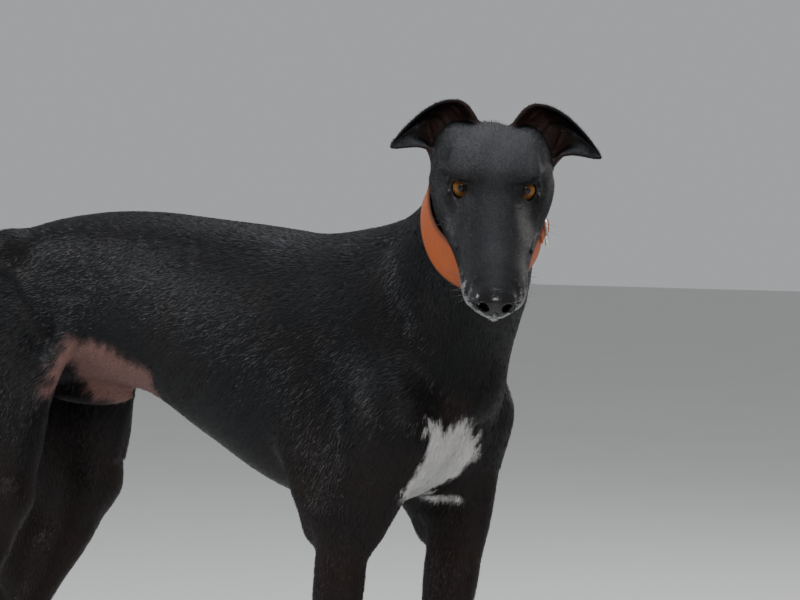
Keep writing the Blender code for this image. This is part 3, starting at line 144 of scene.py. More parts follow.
class Paint:
    """A material with one Principled shader, and the one way to add any other node to it."""

    def __init__(self, name, **fixed):
        self.material = bpy.data.materials.new(name)
        self.material.use_nodes = True
        self.tree = self.material.node_tree
        self.shader = self.tree.nodes["Principled BSDF"]
        for socket, value in fixed.items():
            self.shader.inputs[socket.replace("_", " ")].default_value = value

    def node(self, kind, settings, inputs, output=0):
        """Adds a node: its settings first, then the values or links of its sockets."""
        made = self.tree.nodes.new(kind)
        for name, value in settings.items():
            if name == "stops":
                ramp = made.color_ramp
                while len(ramp.elements) < len(value):
                    ramp.elements.new(0.5)
                for element, (place, colour) in zip(ramp.elements, value):
                    element.position = place
                    element.color = (*colour, 1)
            else:
                setattr(made, name, value)
        for key, value in inputs.items():
            if isinstance(value, Value):
                self.tree.links.new(value.socket, made.inputs[key])
            else:
                made.inputs[key].default_value = value
        return Value(self, made.outputs[output])

    def feed(self, socket, value):
        self.tree.links.new(value.socket, self.shader.inputs[socket])

    def mask(self, name):
        """A number kept at each point of the mesh."""
        return self.node("ShaderNodeAttribute", {"attribute_name": name}, {}, "Fac")

    def vector(self, name):
        """Three numbers kept at each point of the mesh."""
        return self.node("ShaderNodeAttribute", {"attribute_name": name}, {}, "Vector")

    def place(self):
        return self.node("ShaderNodeTexCoord", {}, {}, "Object")

    def noise(self, scale, at=None, detail=3.0, rough=0.5):
        inputs = {"Vector": at or self.place(), "Scale": scale, "Detail": detail, "Roughness": rough}
        return self.node("ShaderNodeTexNoise", {}, inputs, "Fac")

    def cells(self, scale, at):
        inputs = {"Vector": at, "Scale": scale}
        return self.node("ShaderNodeTexVoronoi", {"feature": "F1"}, inputs, "Distance")

    def stretch(self, at, sizes):
        return self.node("ShaderNodeVectorMath", {"operation": "MULTIPLY"}, {0: at, 1: sizes})

    def blend(self, mask, below, above):
        """Colour below where the mask is 0, and above where it is 1."""
        below, above = (v if isinstance(v, Value) else (*v, 1.0) for v in (below, above))
        return self.node("ShaderNodeMix", {"data_type": "RGBA"}, {0: mask, 6: below, 7: above}, 2)

    def bump(self, height, depth, strength):
        inputs = {"Height": height, "Distance": depth, "Strength": strength}
        return self.node("ShaderNodeBump", {}, inputs)


print("wrapper ready")


# %% A pale floor and four soft lights
# Each light's name, place, aim, size, power in watts, and colour.
LIGHTS = (
    ("sky", (0.2, 0.3, 2.9), (0.1, 0.0, 0.5), (2.4, 1.8), 66, (0.90, 0.94, 1.0)),
    ("window", (2.3, -2.3, 1.9), (0.2, 0, 0.55), (1.3, 1.3), 52, (1.0, 0.98, 0.95)),
    ("rim", (-1.6, -1.6, 1.7), (0, 0, 0.55), (1.0, 1.2), 42, (0.95, 0.97, 1.0)),
    ("far side", (0.9, 2.4, 1.6), (0.1, 0, 0.5), (1.4, 1.0), 20, (1.0, 0.97, 0.93)),
)
AIR_COLOUR = (0.80, 0.82, 0.84, 1)
AIR_STRENGTH = 0.50
FLOOR_SIZE = 14


def soft_light(name, place, aim, wide, watts, colour):
    data = bpy.data.lights.new(name, "AREA")
    data.shape = "RECTANGLE"
    data.size, data.size_y = wide
    data.energy = watts
    data.color = colour
    light = bpy.data.objects.new(name, data)
    light.location = place
    light.rotation_euler = (Vector(aim) - Vector(place)).to_track_quat("-Z", "Y").to_euler()
    bpy.context.scene.collection.objects.link(light)


for row in LIGHTS:
    soft_light(*row)

world = bpy.data.worlds.new("studio")
world.use_nodes = True
air = world.node_tree.nodes["Background"]
air.inputs["Color"].default_value = AIR_COLOUR
air.inputs["Strength"].default_value = AIR_STRENGTH
bpy.context.scene.world = world

bm = bmesh.new()
bmesh.ops.create_grid(bm, x_segments=8, y_segments=8, size=FLOOR_SIZE)
floor_mesh = bpy.data.meshes.new("floor")
bm.to_mesh(floor_mesh)
bm.free()
floor = bpy.data.objects.new("floor", floor_mesh)
bpy.context.scene.collection.objects.link(floor)
floor_paint = Paint("pale floor", Roughness=0.75)
floor_colour = floor_paint.blend(floor_paint.noise(3.0), (0.60, 0.60, 0.585), (0.64, 0.64, 0.625))
floor_paint.feed("Base Color", floor_colour)
floor.data.materials.append(floor_paint.material)

# %% [markdown]
# ## Flesh as one smooth field
#
# A body has no edges, so we don't model it from faces. Each bone and muscle is a simple form, and
# a field gives the distance from a point to all of them at once, with soft blends between
# neighbours. Where the field is zero is the skin. It is the same description that the solids were
# made from, so the skin fits them, but here we can afford far finer faces.


# %% The field and its simple forms
FAR = 0.05
LIMB_PIECES = 3


def hermite(x, knots, values):
    """A smooth curve through the knots, flat beyond the first and the last."""
    knots = np.asarray(knots, float)
    values = np.asarray(values, float)
    slopes = np.gradient(values, knots)
    i = np.clip(np.searchsorted(knots, x) - 1, 0, len(knots) - 2)
    span = knots[i + 1] - knots[i]
    t = np.clip((x - knots[i]) / span, 0, 1)
    start = (1 + 2 * t) * (1 - t) ** 2 * values[i] + t * (1 - t) ** 2 * span * slopes[i]
    end = t * t * (3 - 2 * t) * values[i + 1] + t * t * (t - 1) * span * slopes[i + 1]
    return start + end


def unit(v):
    v = np.asarray(v, float)
    return v / np.linalg.norm(v)


def ellipse_distance(parts):
    """The distance from the surface of an ellipsoid, from pairs of (offset, radius)."""
    k0 = np.sqrt(sum((q / r) ** 2 for q, r in parts))
    k1 = np.sqrt(sum((q / (r * r)) ** 2 for q, r in parts)) + 1e-9
    return k0 * (k0 - 1) / k1


def square_axes(along, across):
    """Three directions square to each other: along, then as near to across as can be, then the third."""
    e1 = unit(along)
    e2 = np.asarray(across, float)
    e2 = unit(e2 - e1 * (e2 @ e1))
    return e1, e2, np.cross(e1, e2)


def columns(rows):
    """The columns of a table of named cross sections: place, top, underside, half width, egg."""
    return [np.array([row[i] for row in rows]) for i in range(1, 6)]


def section_distance(q, rows, blunt=1.0):
    """The distance from a body that is drawn as cross sections along its first axis."""
    x, *heights_and_widths = columns(rows)
    at = np.clip(q[:, 0], x[0], x[-1])
    top, bottom, wide, egg = (hermite(at, x, column) for column in heights_and_widths)
    half = (top - bottom) / 2
    up = q[:, 2] - (top + bottom) / 2
    wide = wide * (1 + egg * np.clip(up / half, -1, 1))
    ahead = (q[:, 0] - at, np.minimum(half, wide) * blunt)
    return ellipse_distance([ahead, (q[:, 1], wide), (up, half)])


def grid_quads(rows, across, round_rows=False, round_across=False):
    """The faces of a grid of points that is numbered row by row, closed either way or open."""
    ways = np.arange(rows - (not round_rows)), np.arange(across - (not round_across))
    i, k = np.meshgrid(*ways, indexing="ij")
    i2, k2 = (i + 1) % rows, (k + 1) % across
    corners = (i * across + k, i * across + k2, i2 * across + k2, i2 * across + k)
    return np.stack(corners, -1).reshape(-1, 4)


def turns_round(count):
    """Equal steps round a circle."""
    return 2 * math.pi * np.arange(count) / count


def mesh_tree(points, faces):
    """A search tree over the faces of a mesh."""
    return BVHTree.FromPolygons(np.asarray(points, float).tolist(), np.asarray(faces).tolist())


class Field:
    """A smooth solid, built up from forms that are added or cut with a soft edge."""

    def __init__(self):
        self.forms = []

    def put(self, distance, low, high, soft, cut=False):
        margin = soft + 0.004
        self.forms.append((distance, np.asarray(low) - margin, np.asarray(high) + margin, soft, cut))

    def __call__(self, points):
        value = np.full(len(points), FAR)
        for distance, low, high, soft, cut in self.forms:
            near = np.flatnonzero(np.all((points > low) & (points < high), axis=1))
            if not len(near):
                continue
            d = distance(points[near])
            old = value[near]
            if cut:
                d = -d
                blend = np.maximum(soft - np.abs(old - d), 0)
                value[near] = np.maximum(old, d) + blend * blend / (4 * soft)
            else:
                blend = np.maximum(soft - np.abs(old - d), 0)
                value[near] = np.minimum(old, d) - blend * blend / (4 * soft)
        return value

    def ball(self, centre, radii, along, across, soft, cut=False):
        """An ellipsoid: radii run along, across and square to both."""
        centre = np.asarray(centre, float)
        axes = square_axes(along, across)

        def distance(points):
            q = points - centre
            return ellipse_distance([(q @ e, r) for e, r in zip(axes, radii)])

        reach = np.sqrt(sum((np.abs(e) * r) ** 2 for e, r in zip(axes, radii)))
        self.put(distance, centre - reach, centre + reach, soft, cut)

    def muscle(self, start, end, thick, wide, side, soft):
        """A spindle from start to end. wide is its half width along side, thick square to that."""
        start = np.asarray(start, float)
        end = np.asarray(end, float)
        length = np.linalg.norm(end - start) / 2
        self.ball((start + end) / 2, (length, wide, thick), end - start, side, soft)

    def limb(self, stations, side, soft, cut=False, pieces=LIMB_PIECES):
        """A bent rod through (point, thick, wide) stations, with an oval section."""
        table = np.array([(*point, thick, wide) for point, thick, wide in stations], float)
        knots = np.concatenate([[0], np.cumsum(np.linalg.norm(np.diff(table[:, :3], axis=0), axis=1))])
        along = np.linspace(0, knots[-1], pieces * (len(stations) - 1) + 1)
        table = np.stack([hermite(along, knots, column) for column in table.T], -1)
        rods = []
        for a, b in zip(table, table[1:]):
            axis = b[:3] - a[:3]
            rods.append((a, b, axis, *square_axes(axis, side)))

        def distance(p):
            value = np.full(len(p), FAR * 4)
            for a, b, axis, e1, e2, e3 in rods:
                q = p - a[:3]
                t = np.clip(q @ axis / (axis @ axis), 0, 1)
                q = q - t[:, None] * axis
                thick, wide = a[3] + (b[3] - a[3]) * t, a[4] + (b[4] - a[4]) * t
                around = [(q @ e1, np.minimum(thick, wide)), (q @ e2, wide), (q @ e3, thick)]
                value = np.minimum(value, ellipse_distance(around))
            return value

        reach = table[:, 3:].max()
        self.put(distance, table[:, :3].min(0) - reach, table[:, :3].max(0) + reach, soft, cut)

    def trunk(self, rows, soft):
        x, top, bottom, wide, _ = columns(rows)
        low = (x[0] - 0.03, -max(wide) * 1.2, min(bottom))
        high = (x[-1] + 0.03, max(wide) * 1.2, max(top))
        self.put(lambda points: section_distance(points, rows), low, high, soft)

    def sheet(self, tree, rows, half, soft):
        """A curved sheet through rows of points, given half of its thickness at each point."""
        thick = half.reshape(-1)[grid_quads(*half.shape)].mean(-1)

        def distance(p):
            value = np.empty(len(p))
            for i, point in enumerate(p.tolist()):
                _, _, face, gap = tree.find_nearest(point)
                value[i] = gap - thick[face]
            return value

        low, high = rows.reshape(-1, 3).min(0), rows.reshape(-1, 3).max(0)
        self.put(distance, low - half.max(), high + half.max(), soft)


print("field ready")

# %% [markdown]
# ## The head
#
# A greyhound's head is a long wedge. We describe its profile in the head's own directions, from a
# point between the eyes, and then turn the whole head to the dog's right. Cheeks, temples, brows
# and the pads that hold the whiskers are added as soft forms, and the hollow in front of each eye
# is cut away.

# %% The head's sizes
HEAD_AT = np.array((0.4083, -0.1840, 0.7175))
HEAD_TURN = math.radians(-53.5)
HEAD_DIP = math.radians(36)
HEAD_ROLL = math.radians(-3)

# From between the eyes: forward, then top and underside heights, half width, egg.
SKULL = (
    ("back of skull", -0.118, -0.004, -0.037, 0.024, 0.00),
    ("poll", -0.098, 0.0075, -0.046, 0.040, 0.05),
    ("braincase", -0.070, 0.0215, -0.056, 0.0475, 0.06),
    ("cheekbones", -0.035, 0.0270, -0.060, 0.0520, 0.04),
    ("brows", -0.008, 0.0245, -0.060, 0.0495, -0.02),
    ("stop", 0.018, 0.0165, -0.056, 0.0430, -0.12),
    ("muzzle root", 0.045, 0.0110, -0.051, 0.0365, -0.08),
    ("mid muzzle", 0.075, 0.0055, -0.047, 0.0310, -0.04),
    ("whisker pads", 0.105, 0.0010, -0.043, 0.0268, -0.06),
    ("nose bridge", 0.126, -0.0040, -0.039, 0.0205, -0.05),
    ("muzzle end", 0.135, -0.0090, -0.034, 0.0120, 0.00),
)
EYE_RADIUS = 0.0108
LID_RADIUS = 0.0128
EYE_SIDE = 0.0278
EYE_AHEAD = -0.0100
EYE_UP = 0.0008
# How far each eye looks outward and upward of the muzzle's line.
EYE_OUT = math.radians(3)
EYE_RISE = math.radians(26)
# The open lids, and the nostrils.
EYE_WIDE = 0.0212
EYE_HIGH = 0.0180
EYE_INWARD = 0.0013
NOSTRIL = (0.1360, 0.0092, -0.0180)
# The line of the lips: forward and height, from the corner of the mouth to the front.
LIPS = (
    (0.012, -0.0440), (0.035, -0.0395), (0.070, -0.0340),
    (0.100, -0.0325), (0.125, -0.0320), (0.140, -0.0320),
)
LIP_FRONT = 0.137
SKULL_REACH = 0.16
SKULL_BLUNT = 0.55


def head_axes():
    """The head's own forward, left and up directions."""
    turn = Matrix.Rotation(HEAD_TURN, 3, "Z") @ Matrix.Rotation(HEAD_DIP, 3, "Y")
    turn = turn @ Matrix.Rotation(HEAD_ROLL, 3, "X")
    return np.array([list(turn @ Vector(v)) for v in ((1, 0, 0), (0, 1, 0), (0, 0, 1))])


HEAD_AXES = head_axes()


def on_head(x, y, z):
    """A point given in the head's own directions, from between the eyes."""
    return HEAD_AT + np.array((x, y, z)) @ HEAD_AXES


def in_head(points):
    """Points in the head's own directions."""
    return (points - HEAD_AT) @ HEAD_AXES.T


def eye_at(side):
    return on_head(EYE_AHEAD, side * EYE_SIDE, EYE_UP)


def eye_axes(side):
    """The way an eye's opening faces, then outward along the lids, then up."""
    level = math.cos(EYE_RISE)
    gaze = np.array((level * math.cos(EYE_OUT), side * level * math.sin(EYE_OUT), math.sin(EYE_RISE)))
    out = np.array((-math.sin(EYE_OUT), side * math.cos(EYE_OUT), -0.10))
    out = unit(out - gaze * (out @ gaze))
    return gaze @ HEAD_AXES, out @ HEAD_AXES, np.cross(gaze, out) * side @ HEAD_AXES


print("head looks along", HEAD_AXES[0].round(2))


# %% The head's forms
def add_skull(field):
    """The head: the long wedge, then cheeks, brows, muzzle and jaw."""

    def distance(points):
        return section_distance(in_head(points), SKULL, SKULL_BLUNT)

    field.put(distance, HEAD_AT - SKULL_REACH, HEAD_AT + SKULL_REACH, 0.02)
    fwd, left, _ = HEAD_AXES
    for side in (1, -1):
        out = left * side
        # The jaw muscle and the temple.
        field.ball(on_head(-0.050, side * 0.038, -0.030), (0.036, 0.013, 0.030), fwd, out, 0.015)
        field.ball(on_head(-0.062, side * 0.034, 0.001), (0.038, 0.0160, 0.018), fwd, out, 0.016)
        # The hollow before the eye, the cheekbone under it, and the brow over it.
        field.ball(on_head(0.028, side * 0.0470, 0.007), (0.032, 0.0160, 0.0140), fwd, out, 0.018, cut=True)
        cheekbone = on_head(-0.040, side * 0.052, -0.014), on_head(0.020, side * 0.034, -0.017)
        field.muscle(*cheekbone, 0.0075, 0.006, out, 0.010)
        field.ball(on_head(-0.014, side * 0.0290, 0.0160), (0.015, 0.011, 0.0034), fwd, out, 0.014)
        # The whisker pad.
        field.ball(on_head(0.104, side * 0.0155, -0.0220), (0.022, 0.0115, 0.0140), fwd, out, 0.008)
        # The flesh of the lids, round the eyeball.
        field.ball(eye_at(side), (LID_RADIUS, LID_RADIUS, LID_RADIUS), fwd, out, 0.006)
    # The nose: a rounded pad that stands a little proud of the lips.
    field.ball(on_head(0.1275, 0, -0.0165), (0.0135, 0.0178, 0.0118), fwd, left, 0.006)
    # The furrow between the brows.
    field.ball(on_head(-0.022, 0, 0.0425), (0.045, 0.008, 0.014), fwd, left, 0.014, cut=True)


def lip_line():
    """Points along the closed lips, from one corner of the mouth round the front to the other."""
    x, *heights_and_widths = columns(SKULL)
    ahead = np.linspace(LIPS[0][0], LIP_FRONT, 26)
    height = hermite(ahead, *zip(*LIPS))
    top, bottom, wide, egg = (hermite(ahead, x, column) for column in heights_and_widths)
    up = np.clip((height - (top + bottom) / 2) / ((top - bottom) / 2), -0.98, 0.98)
    reach = wide * (1 + egg * up) * np.sqrt(1 - up * up)
    right = np.stack([ahead, -reach, height], -1)
    left = np.stack([ahead, reach, height], -1)[::-1]
    return np.vstack([right, left])


LIP_POINTS = lip_line()[::2]
# Threads on each side of the face, from point to point: forward, outward and up.
NOSTRIL_SLIT = ((0.1350, 0.0115, -0.0172), (0.1318, 0.0150, -0.0190), (0.1275, 0.0176, -0.0215))
VEIN = (
    (-0.012, 0.0470, -0.022), (0.012, 0.0395, -0.026), (0.038, 0.0365, -0.018), (0.062, 0.0330, -0.014),
)
NOSE_GROOVE = ((0.1420, 0, -0.0150), (0.1408, 0, -0.0230), (0.1350, 0, -0.0315))
# Each lid's fold: its place over the eye's middle, half width, half height up or down, and radius.
LID_FOLDS = ((0.0070, 0.0135, 0.0128, 0.0008), (0.0070, 0.0130, -0.0124, 0.0010))


def add_thread(field, points, radius, side, soft, cut=False):
    """A thin rod through points, or a groove."""
    field.limb([(point, radius, radius) for point in points], side, soft, cut)


def add_face_details(field):
    """What the fine skin shows and the solids don't: lids, nostrils, lips, veins and folds."""
    fwd, left, up = HEAD_AXES
    for side in (1, -1):
        gaze, out, rise = eye_axes(side)
        centre = eye_at(side)
        # A fold above the upper lid, and a bag below the lower one.
        for over, wide, high, radius in LID_FOLDS:
            turns = np.linspace(math.radians(20), math.radians(160), 7)
            over_lid = centre + gaze * over
            fold = [over_lid + out * wide * math.cos(a) + rise * high * math.sin(a) for a in turns]
            add_thread(field, fold, radius, out, 0.0035)
        # The open lids show the eyeball.
        opening = (0.0100, EYE_WIDE / 2, EYE_HIGH / 2)
        field.ball(centre + gaze * 0.0115 - out * EYE_INWARD, opening, gaze, out, 0.0012, cut=True)
        # The wing of the nose, the nostril, and the slit that runs back from it.
        field.ball(on_head(0.1285, side * 0.0118, -0.0160), (0.0090, 0.0068, 0.0078), fwd, out, 0.0025)
        ahead, across, high = NOSTRIL
        root = on_head(ahead - 0.001, side * across, high)
        field.ball(root, (0.0064, 0.0042, 0.0036), fwd, out, 0.0024, cut=True)
        slit, vein = ([on_head(a, side * w, h) for a, w, h in line] for line in (NOSTRIL_SLIT, VEIN))
        add_thread(field, slit, 0.0017, up, 0.0028, cut=True)
        # A vein on the cheek and along the muzzle.
        add_thread(field, vein, 0.0013, out, 0.004)
    # The groove down the middle of the nose and the upper lip.
    add_thread(field, [on_head(*p) for p in NOSE_GROOVE], 0.0012, left, 0.0028, cut=True)
    # The line between the lips.
    line = [(on_head(*p), 0.0016, 0.0016) for p in LIP_POINTS]
    for i in range(0, len(line) - 1, 3):
        field.limb(line[i : i + 4], up, 0.0024, cut=True, pieces=1)


print("lip line:", len(LIP_POINTS), "points")

# %% [markdown]
# ## The ears
#
# The ears stand half up, folded outward, so the camera looks into them. Each is a thin curved
# sheet, given as rows of points from the base to the tip, and thickened. The root is a soft mound
# that joins it to the skull.

# %% The ears' sizes and forms
# Rows from base to tip, each with five points from the lower edge to the upper one, measured from
# between the eyes with the head held level: forward, outward and up.
EAR = (
    (
        (-0.048, 0.050, 0.026), (-0.074, 0.057, 0.036), (-0.088, 0.044, 0.050),
        (-0.080, 0.026, 0.064), (-0.062, 0.014, 0.062),
    ),
    (
        (-0.044, 0.0590, 0.0375), (-0.072, 0.066, 0.046), (-0.087, 0.054, 0.064),
        (-0.080, 0.040, 0.080), (-0.062, 0.0295, 0.0815),
    ),
    (
        (-0.048, 0.0690, 0.0405), (-0.068, 0.074, 0.049), (-0.079, 0.067, 0.064),
        (-0.074, 0.055, 0.0785), (-0.064, 0.0470, 0.0825),
    ),
    (
        (-0.056, 0.0800, 0.0400), (-0.067, 0.083, 0.047), (-0.073, 0.079, 0.057),
        (-0.071, 0.072, 0.067), (-0.066, 0.0655, 0.0735),
    ),
    (
        (-0.064, 0.0905, 0.0385), (-0.068, 0.091, 0.042), (-0.070, 0.090, 0.046),
        (-0.070, 0.087, 0.051), (-0.068, 0.0840, 0.0570),
    ),
    (
        (-0.068, 0.0970, 0.0385), (-0.069, 0.0975, 0.0395), (-0.070, 0.0970, 0.0405),
        (-0.070, 0.0965, 0.0415), (-0.069, 0.0955, 0.0430),
    ),
)
EAR_HALF = (0.0024, 0.0020, 0.0018, 0.0016, 0.0015, 0.0014)
EAR_ROWS = 30
EAR_ACROSS = 25
EAR_REACH = {1: 1.0, -1: 0.93}
REACH_FROM = 0.05
LEVEL = Matrix.Rotation(HEAD_TURN, 3, "Z") @ Matrix.Rotation(HEAD_ROLL, 3, "X")
# Each fold of cartilage runs through (row, column) places of an ear's grid.
EAR_FOLDS = (
    ((1, 8), (5, 9), (9, 11), (13, 11)),
    ((1, 14), (5, 14), (10, 15), (15, 14)),
    ((3, 18), (7, 18), (11, 19)),
)


def from_level(point, side):
    """A point on one side of the head, from its place with the head held level."""
    ahead, out, up = point
    return HEAD_AT + np.array(LEVEL @ Vector((ahead, side * out, up)))


def ear_rows(side):
    """A fine grid over an ear's middle surface."""
    table = np.array(EAR)
    outward = table[..., 1]
    beyond = REACH_FROM + (outward - REACH_FROM) * EAR_REACH[side]
    table[..., 1] = np.where(outward > REACH_FROM, beyond, outward)
    table = np.array([[from_level(p, side) for p in row] for row in table])
    s = np.linspace(0, 1, EAR_ROWS)
    t = np.linspace(0, 1, EAR_ACROSS)
    rows, across = np.linspace(0, 1, len(EAR)), np.linspace(0, 1, 5)
    fine = np.stack([[hermite(t, across, row[:, k]) for row in table] for k in range(3)], -1)
    fine = np.stack([[hermite(s, rows, fine[:, j, k]) for j in range(EAR_ACROSS)] for k in range(3)], -1)
    half = np.repeat(hermite(s, rows, EAR_HALF)[:, None], EAR_ACROSS, 1)
    # The edges are thinner than the middle.
    half = half * (1 - 0.25 * np.abs(2 * t - 1) ** 4)
    return fine.transpose(1, 0, 2), half


EARS = {side: ear_rows(side) for side in (1, -1)}
EAR_TREES = {
    side: mesh_tree(rows.reshape(-1, 3), grid_quads(*half.shape)) for side, (rows, half) in EARS.items()
}


def add_ear(field, side):
    centre = from_level((-0.084, 0.036, 0.034), side)
    level_out = from_level((0, 1, 0.2), side) - HEAD_AT
    field.ball(centre, (0.022, 0.018, 0.010), HEAD_AXES[0], level_out, 0.012)
    rows, half = EARS[side]
    field.sheet(EAR_TREES[side], rows, half, 0.006)
    # Both rims are rolled, and folds of cartilage stand up inside, near the base.
    for edge in (0, EAR_ACROSS - 1):
        rim = [(rows[i, edge], 0.0017 - 0.00002 * i, 0.0017 - 0.00002 * i) for i in range(2, EAR_ROWS, 3)]
        field.limb(rim, HEAD_AXES[0], 0.0015, pieces=1)
    lift = HEAD_AXES[0] * 0.0014
    for fold in EAR_FOLDS:
        ridge = [(rows[i, j] + lift, 0.0022 - 0.0001 * i, 0.0020 - 0.0001 * i) for i, j in fold]
        field.limb(ridge, HEAD_AXES[0], 0.003, pieces=2)


print("ear grid", EARS[1][0].shape)

# %% [markdown]
# ## Neck and trunk
#
# The trunk is drawn as a row of cross sections: where each lies, how high the back and belly are
# there, and how wide it is. The deep chest and the high, drawn-up loin make the breed. The neck is
# long and oval, and arches forward into the skull.

# %% The trunk's and the neck's sizes and forms
TRUNK = (
    ("buttock", -0.468, 0.588, 0.535, 0.022, 0.00),
    ("tail head", -0.447, 0.618, 0.502, 0.046, 0.00),
    ("croup", -0.400, 0.650, 0.490, 0.060, 0.05),
    ("hip bones", -0.330, 0.682, 0.498, 0.066, 0.10),
    ("loin", -0.250, 0.696, 0.508, 0.064, 0.12),
    ("last rib", -0.160, 0.698, 0.500, 0.072, 0.10),
    ("rib spring", -0.070, 0.690, 0.458, 0.087, 0.12),
    ("mid chest", 0.020, 0.681, 0.415, 0.094, 0.16),
    ("girth", 0.090, 0.675, 0.399, 0.090, 0.20),
    ("elbow line", 0.145, 0.675, 0.401, 0.078, 0.20),
    ("shoulder", 0.195, 0.666, 0.424, 0.062, 0.15),
    ("forechest", 0.232, 0.630, 0.460, 0.046, 0.05),
    ("breastbone", 0.254, 0.570, 0.500, 0.024, 0.00),
)
NECK = (
    ((0.110, 0.000, 0.580), 0.082, 0.050),
    ((0.180, -0.004, 0.610), 0.076, 0.054),
    ((0.245, -0.022, 0.645), 0.068, 0.052),
    ((0.300, -0.060, 0.682), 0.059, 0.0480),
    ((0.3415, -0.1065, 0.715), 0.053, 0.0425),
    ((0.3605, -0.1315, 0.733), 0.0475, 0.0385),
)
THROAT = (
    ((0.325, -0.086, 0.668), 0.034, 0.036),
    ((0.278, -0.026, 0.612), 0.040, 0.048),
    ((0.232, 0.004, 0.545), 0.040, 0.048),
)
TAIL = (
    ((-0.430, 0.000, 0.638), 0.024, 0.022),
    ((-0.472, 0.000, 0.622), 0.0185, 0.018),
    ((-0.509, 0.002, 0.582), 0.0145, 0.0145),
    ((-0.526, 0.004, 0.520), 0.0125, 0.0120),
    ((-0.532, 0.006, 0.450), 0.0108, 0.0104),
    ((-0.533, 0.008, 0.380), 0.0094, 0.0092),
    ((-0.545, 0.009, 0.315), 0.0082, 0.0080),
    ((-0.566, 0.010, 0.262), 0.0070, 0.0068),
    ((-0.592, 0.010, 0.228), 0.0060, 0.0058),
    ((-0.612, 0.010, 0.216), 0.0052, 0.0050),
)


def add_neck(field):
    field.limb(NECK, (0, 1, 0), 0.035)
    field.limb(THROAT, (0, 1, 0), 0.035)


def add_trunk(field):
    field.trunk(TRUNK, 0.02)
    for side in (1, -1):
        # Long back muscles beside the spine, the breast muscle, the hip bone and the seat bone.
        out = (0, side, 0)
        field.muscle((-0.37, side * 0.030, 0.652), (0.02, side * 0.034, 0.660), 0.022, 0.024, out, 0.025)
        field.muscle((0.256, side * 0.020, 0.520), (0.160, side * 0.034, 0.420), 0.030, 0.022, out, 0.025)
        field.ball((-0.335, side * 0.056, 0.662), (0.026, 0.013, 0.014), (1, 0, 0), out, 0.03)
        field.ball((-0.448, side * 0.040, 0.570), (0.026, 0.020, 0.030), (1, 0, 0), out, 0.03)


def add_belly(field):
    """The skin folds of flank and groin, and the sheath of a male."""
    for side in (1, -1):
        fold = (-0.235, side * 0.056, 0.570), (-0.300, side * 0.078, 0.450)
        field.muscle(*fold, 0.014, 0.007, (0, side, 0), 0.03)
    field.muscle((-0.335, 0, 0.500), (-0.200, 0, 0.497), 0.014, 0.016, (0, 1, 0), 0.016)
    field.ball((-0.352, 0, 0.470), (0.025, 0.018, 0.021), (1, 0, 0.2), (0, 1, 0), 0.014)


def add_tail(field):
    field.limb(TAIL, (0, 1, 0), 0.02)
    # The hollow under the tail's root.
    field.ball((-0.4875, 0.001, 0.566), (0.0065, 0.024, 0.034), (1, 0, -0.35), (0, 1, 0), 0.006, cut=True)


print("trunk is", round(TRUNK[-1][1] - TRUNK[0][1], 3), "m long")

# %% [markdown]
# ## The legs
#
# Each leg is a chain of joints. Long muscles hang from the shoulder blade and the hip, and below
# the elbow and the knee there is little but bone, tendon and skin. The feet are long and well
# arched, with four toes each. The left forefoot stands ahead of the right one, and the left hind
# foot behind the right one, as a dog stands when it stops to look round.

# %% Forelegs
FORE_STEP = {1: 0.025, -1: -0.006}
ELBOW_STEP = {1: 0.039, -1: 0.000}
ELBOW_HEIGHT = {1: 0.372, -1: 0.384}
HIND_STEP = {1: -0.038, -1: 0.0}
# Each toe's place across the foot, and how far ahead it reaches.
TOES = ((-0.0225, -0.004), (-0.0078, 0.008), (0.0078, 0.008), (0.0225, -0.004))
TOE_HEIGHT = 0.0135
FOREFOOT_SIZE = 0.95
HINDFOOT_SIZE = 0.92


def fore_joints(side):
    """Where the joints of a foreleg are, for side +1, the left, or -1, the right."""
    step, bend, height = FORE_STEP[side], ELBOW_STEP[side], ELBOW_HEIGHT[side]
    return {
        "blade": np.array((0.112, side * 0.028, 0.632)),
        "shoulder": np.array((0.215 + 0.1 * step, side * 0.064, 0.500)),
        "elbow": np.array((0.140 + bend, side * (0.068 + 0.08 * bend), height + 0.008)),
        "point": np.array((0.110 + 0.9 * bend, side * 0.070, height + 0.004)),
        "wrist": np.array((0.130 + step, side * 0.066, 0.136)),
        "knuckle": np.array((0.143 + step, side * 0.067, 0.043)),
    }


def toe_points(knuckle, side, size):
    """Where each toe starts, arches and ends."""
    found = []
    for across, ahead in TOES:
        root = knuckle + np.array((0.004, across * 0.62 * side, -0.004)) * size
        arch = knuckle + np.array((0.026 + ahead, across * side, -0.012)) * size
        tip = knuckle + np.array((0.045 + ahead, across * 1.02 * side, 0)) * size
        tip[2] = TOE_HEIGHT
        found.append((root, arch, tip))
    return found


def add_paw(field, knuckle, side, size):
    """A long, well arched foot: four toes with their pads, and the big pad behind them."""
    out = (0, side, 0)
    for root, arch, tip in toe_points(knuckle, side, size):
        field.limb([(root, 0.0115, 0.0088), (arch, 0.0100, 0.0080), (tip, 0.0085, 0.0078)], out, 0.006)
        field.ball(tip + (-0.004, 0, -0.0060), (0.0110, 0.0076, 0.0085), (1, 0, 0), out, 0.003)
    field.ball((knuckle[0] + 0.004, knuckle[1], 0.0165), (0.0165, 0.0185, 0.0172), (1, 0, 0), out, 0.008)


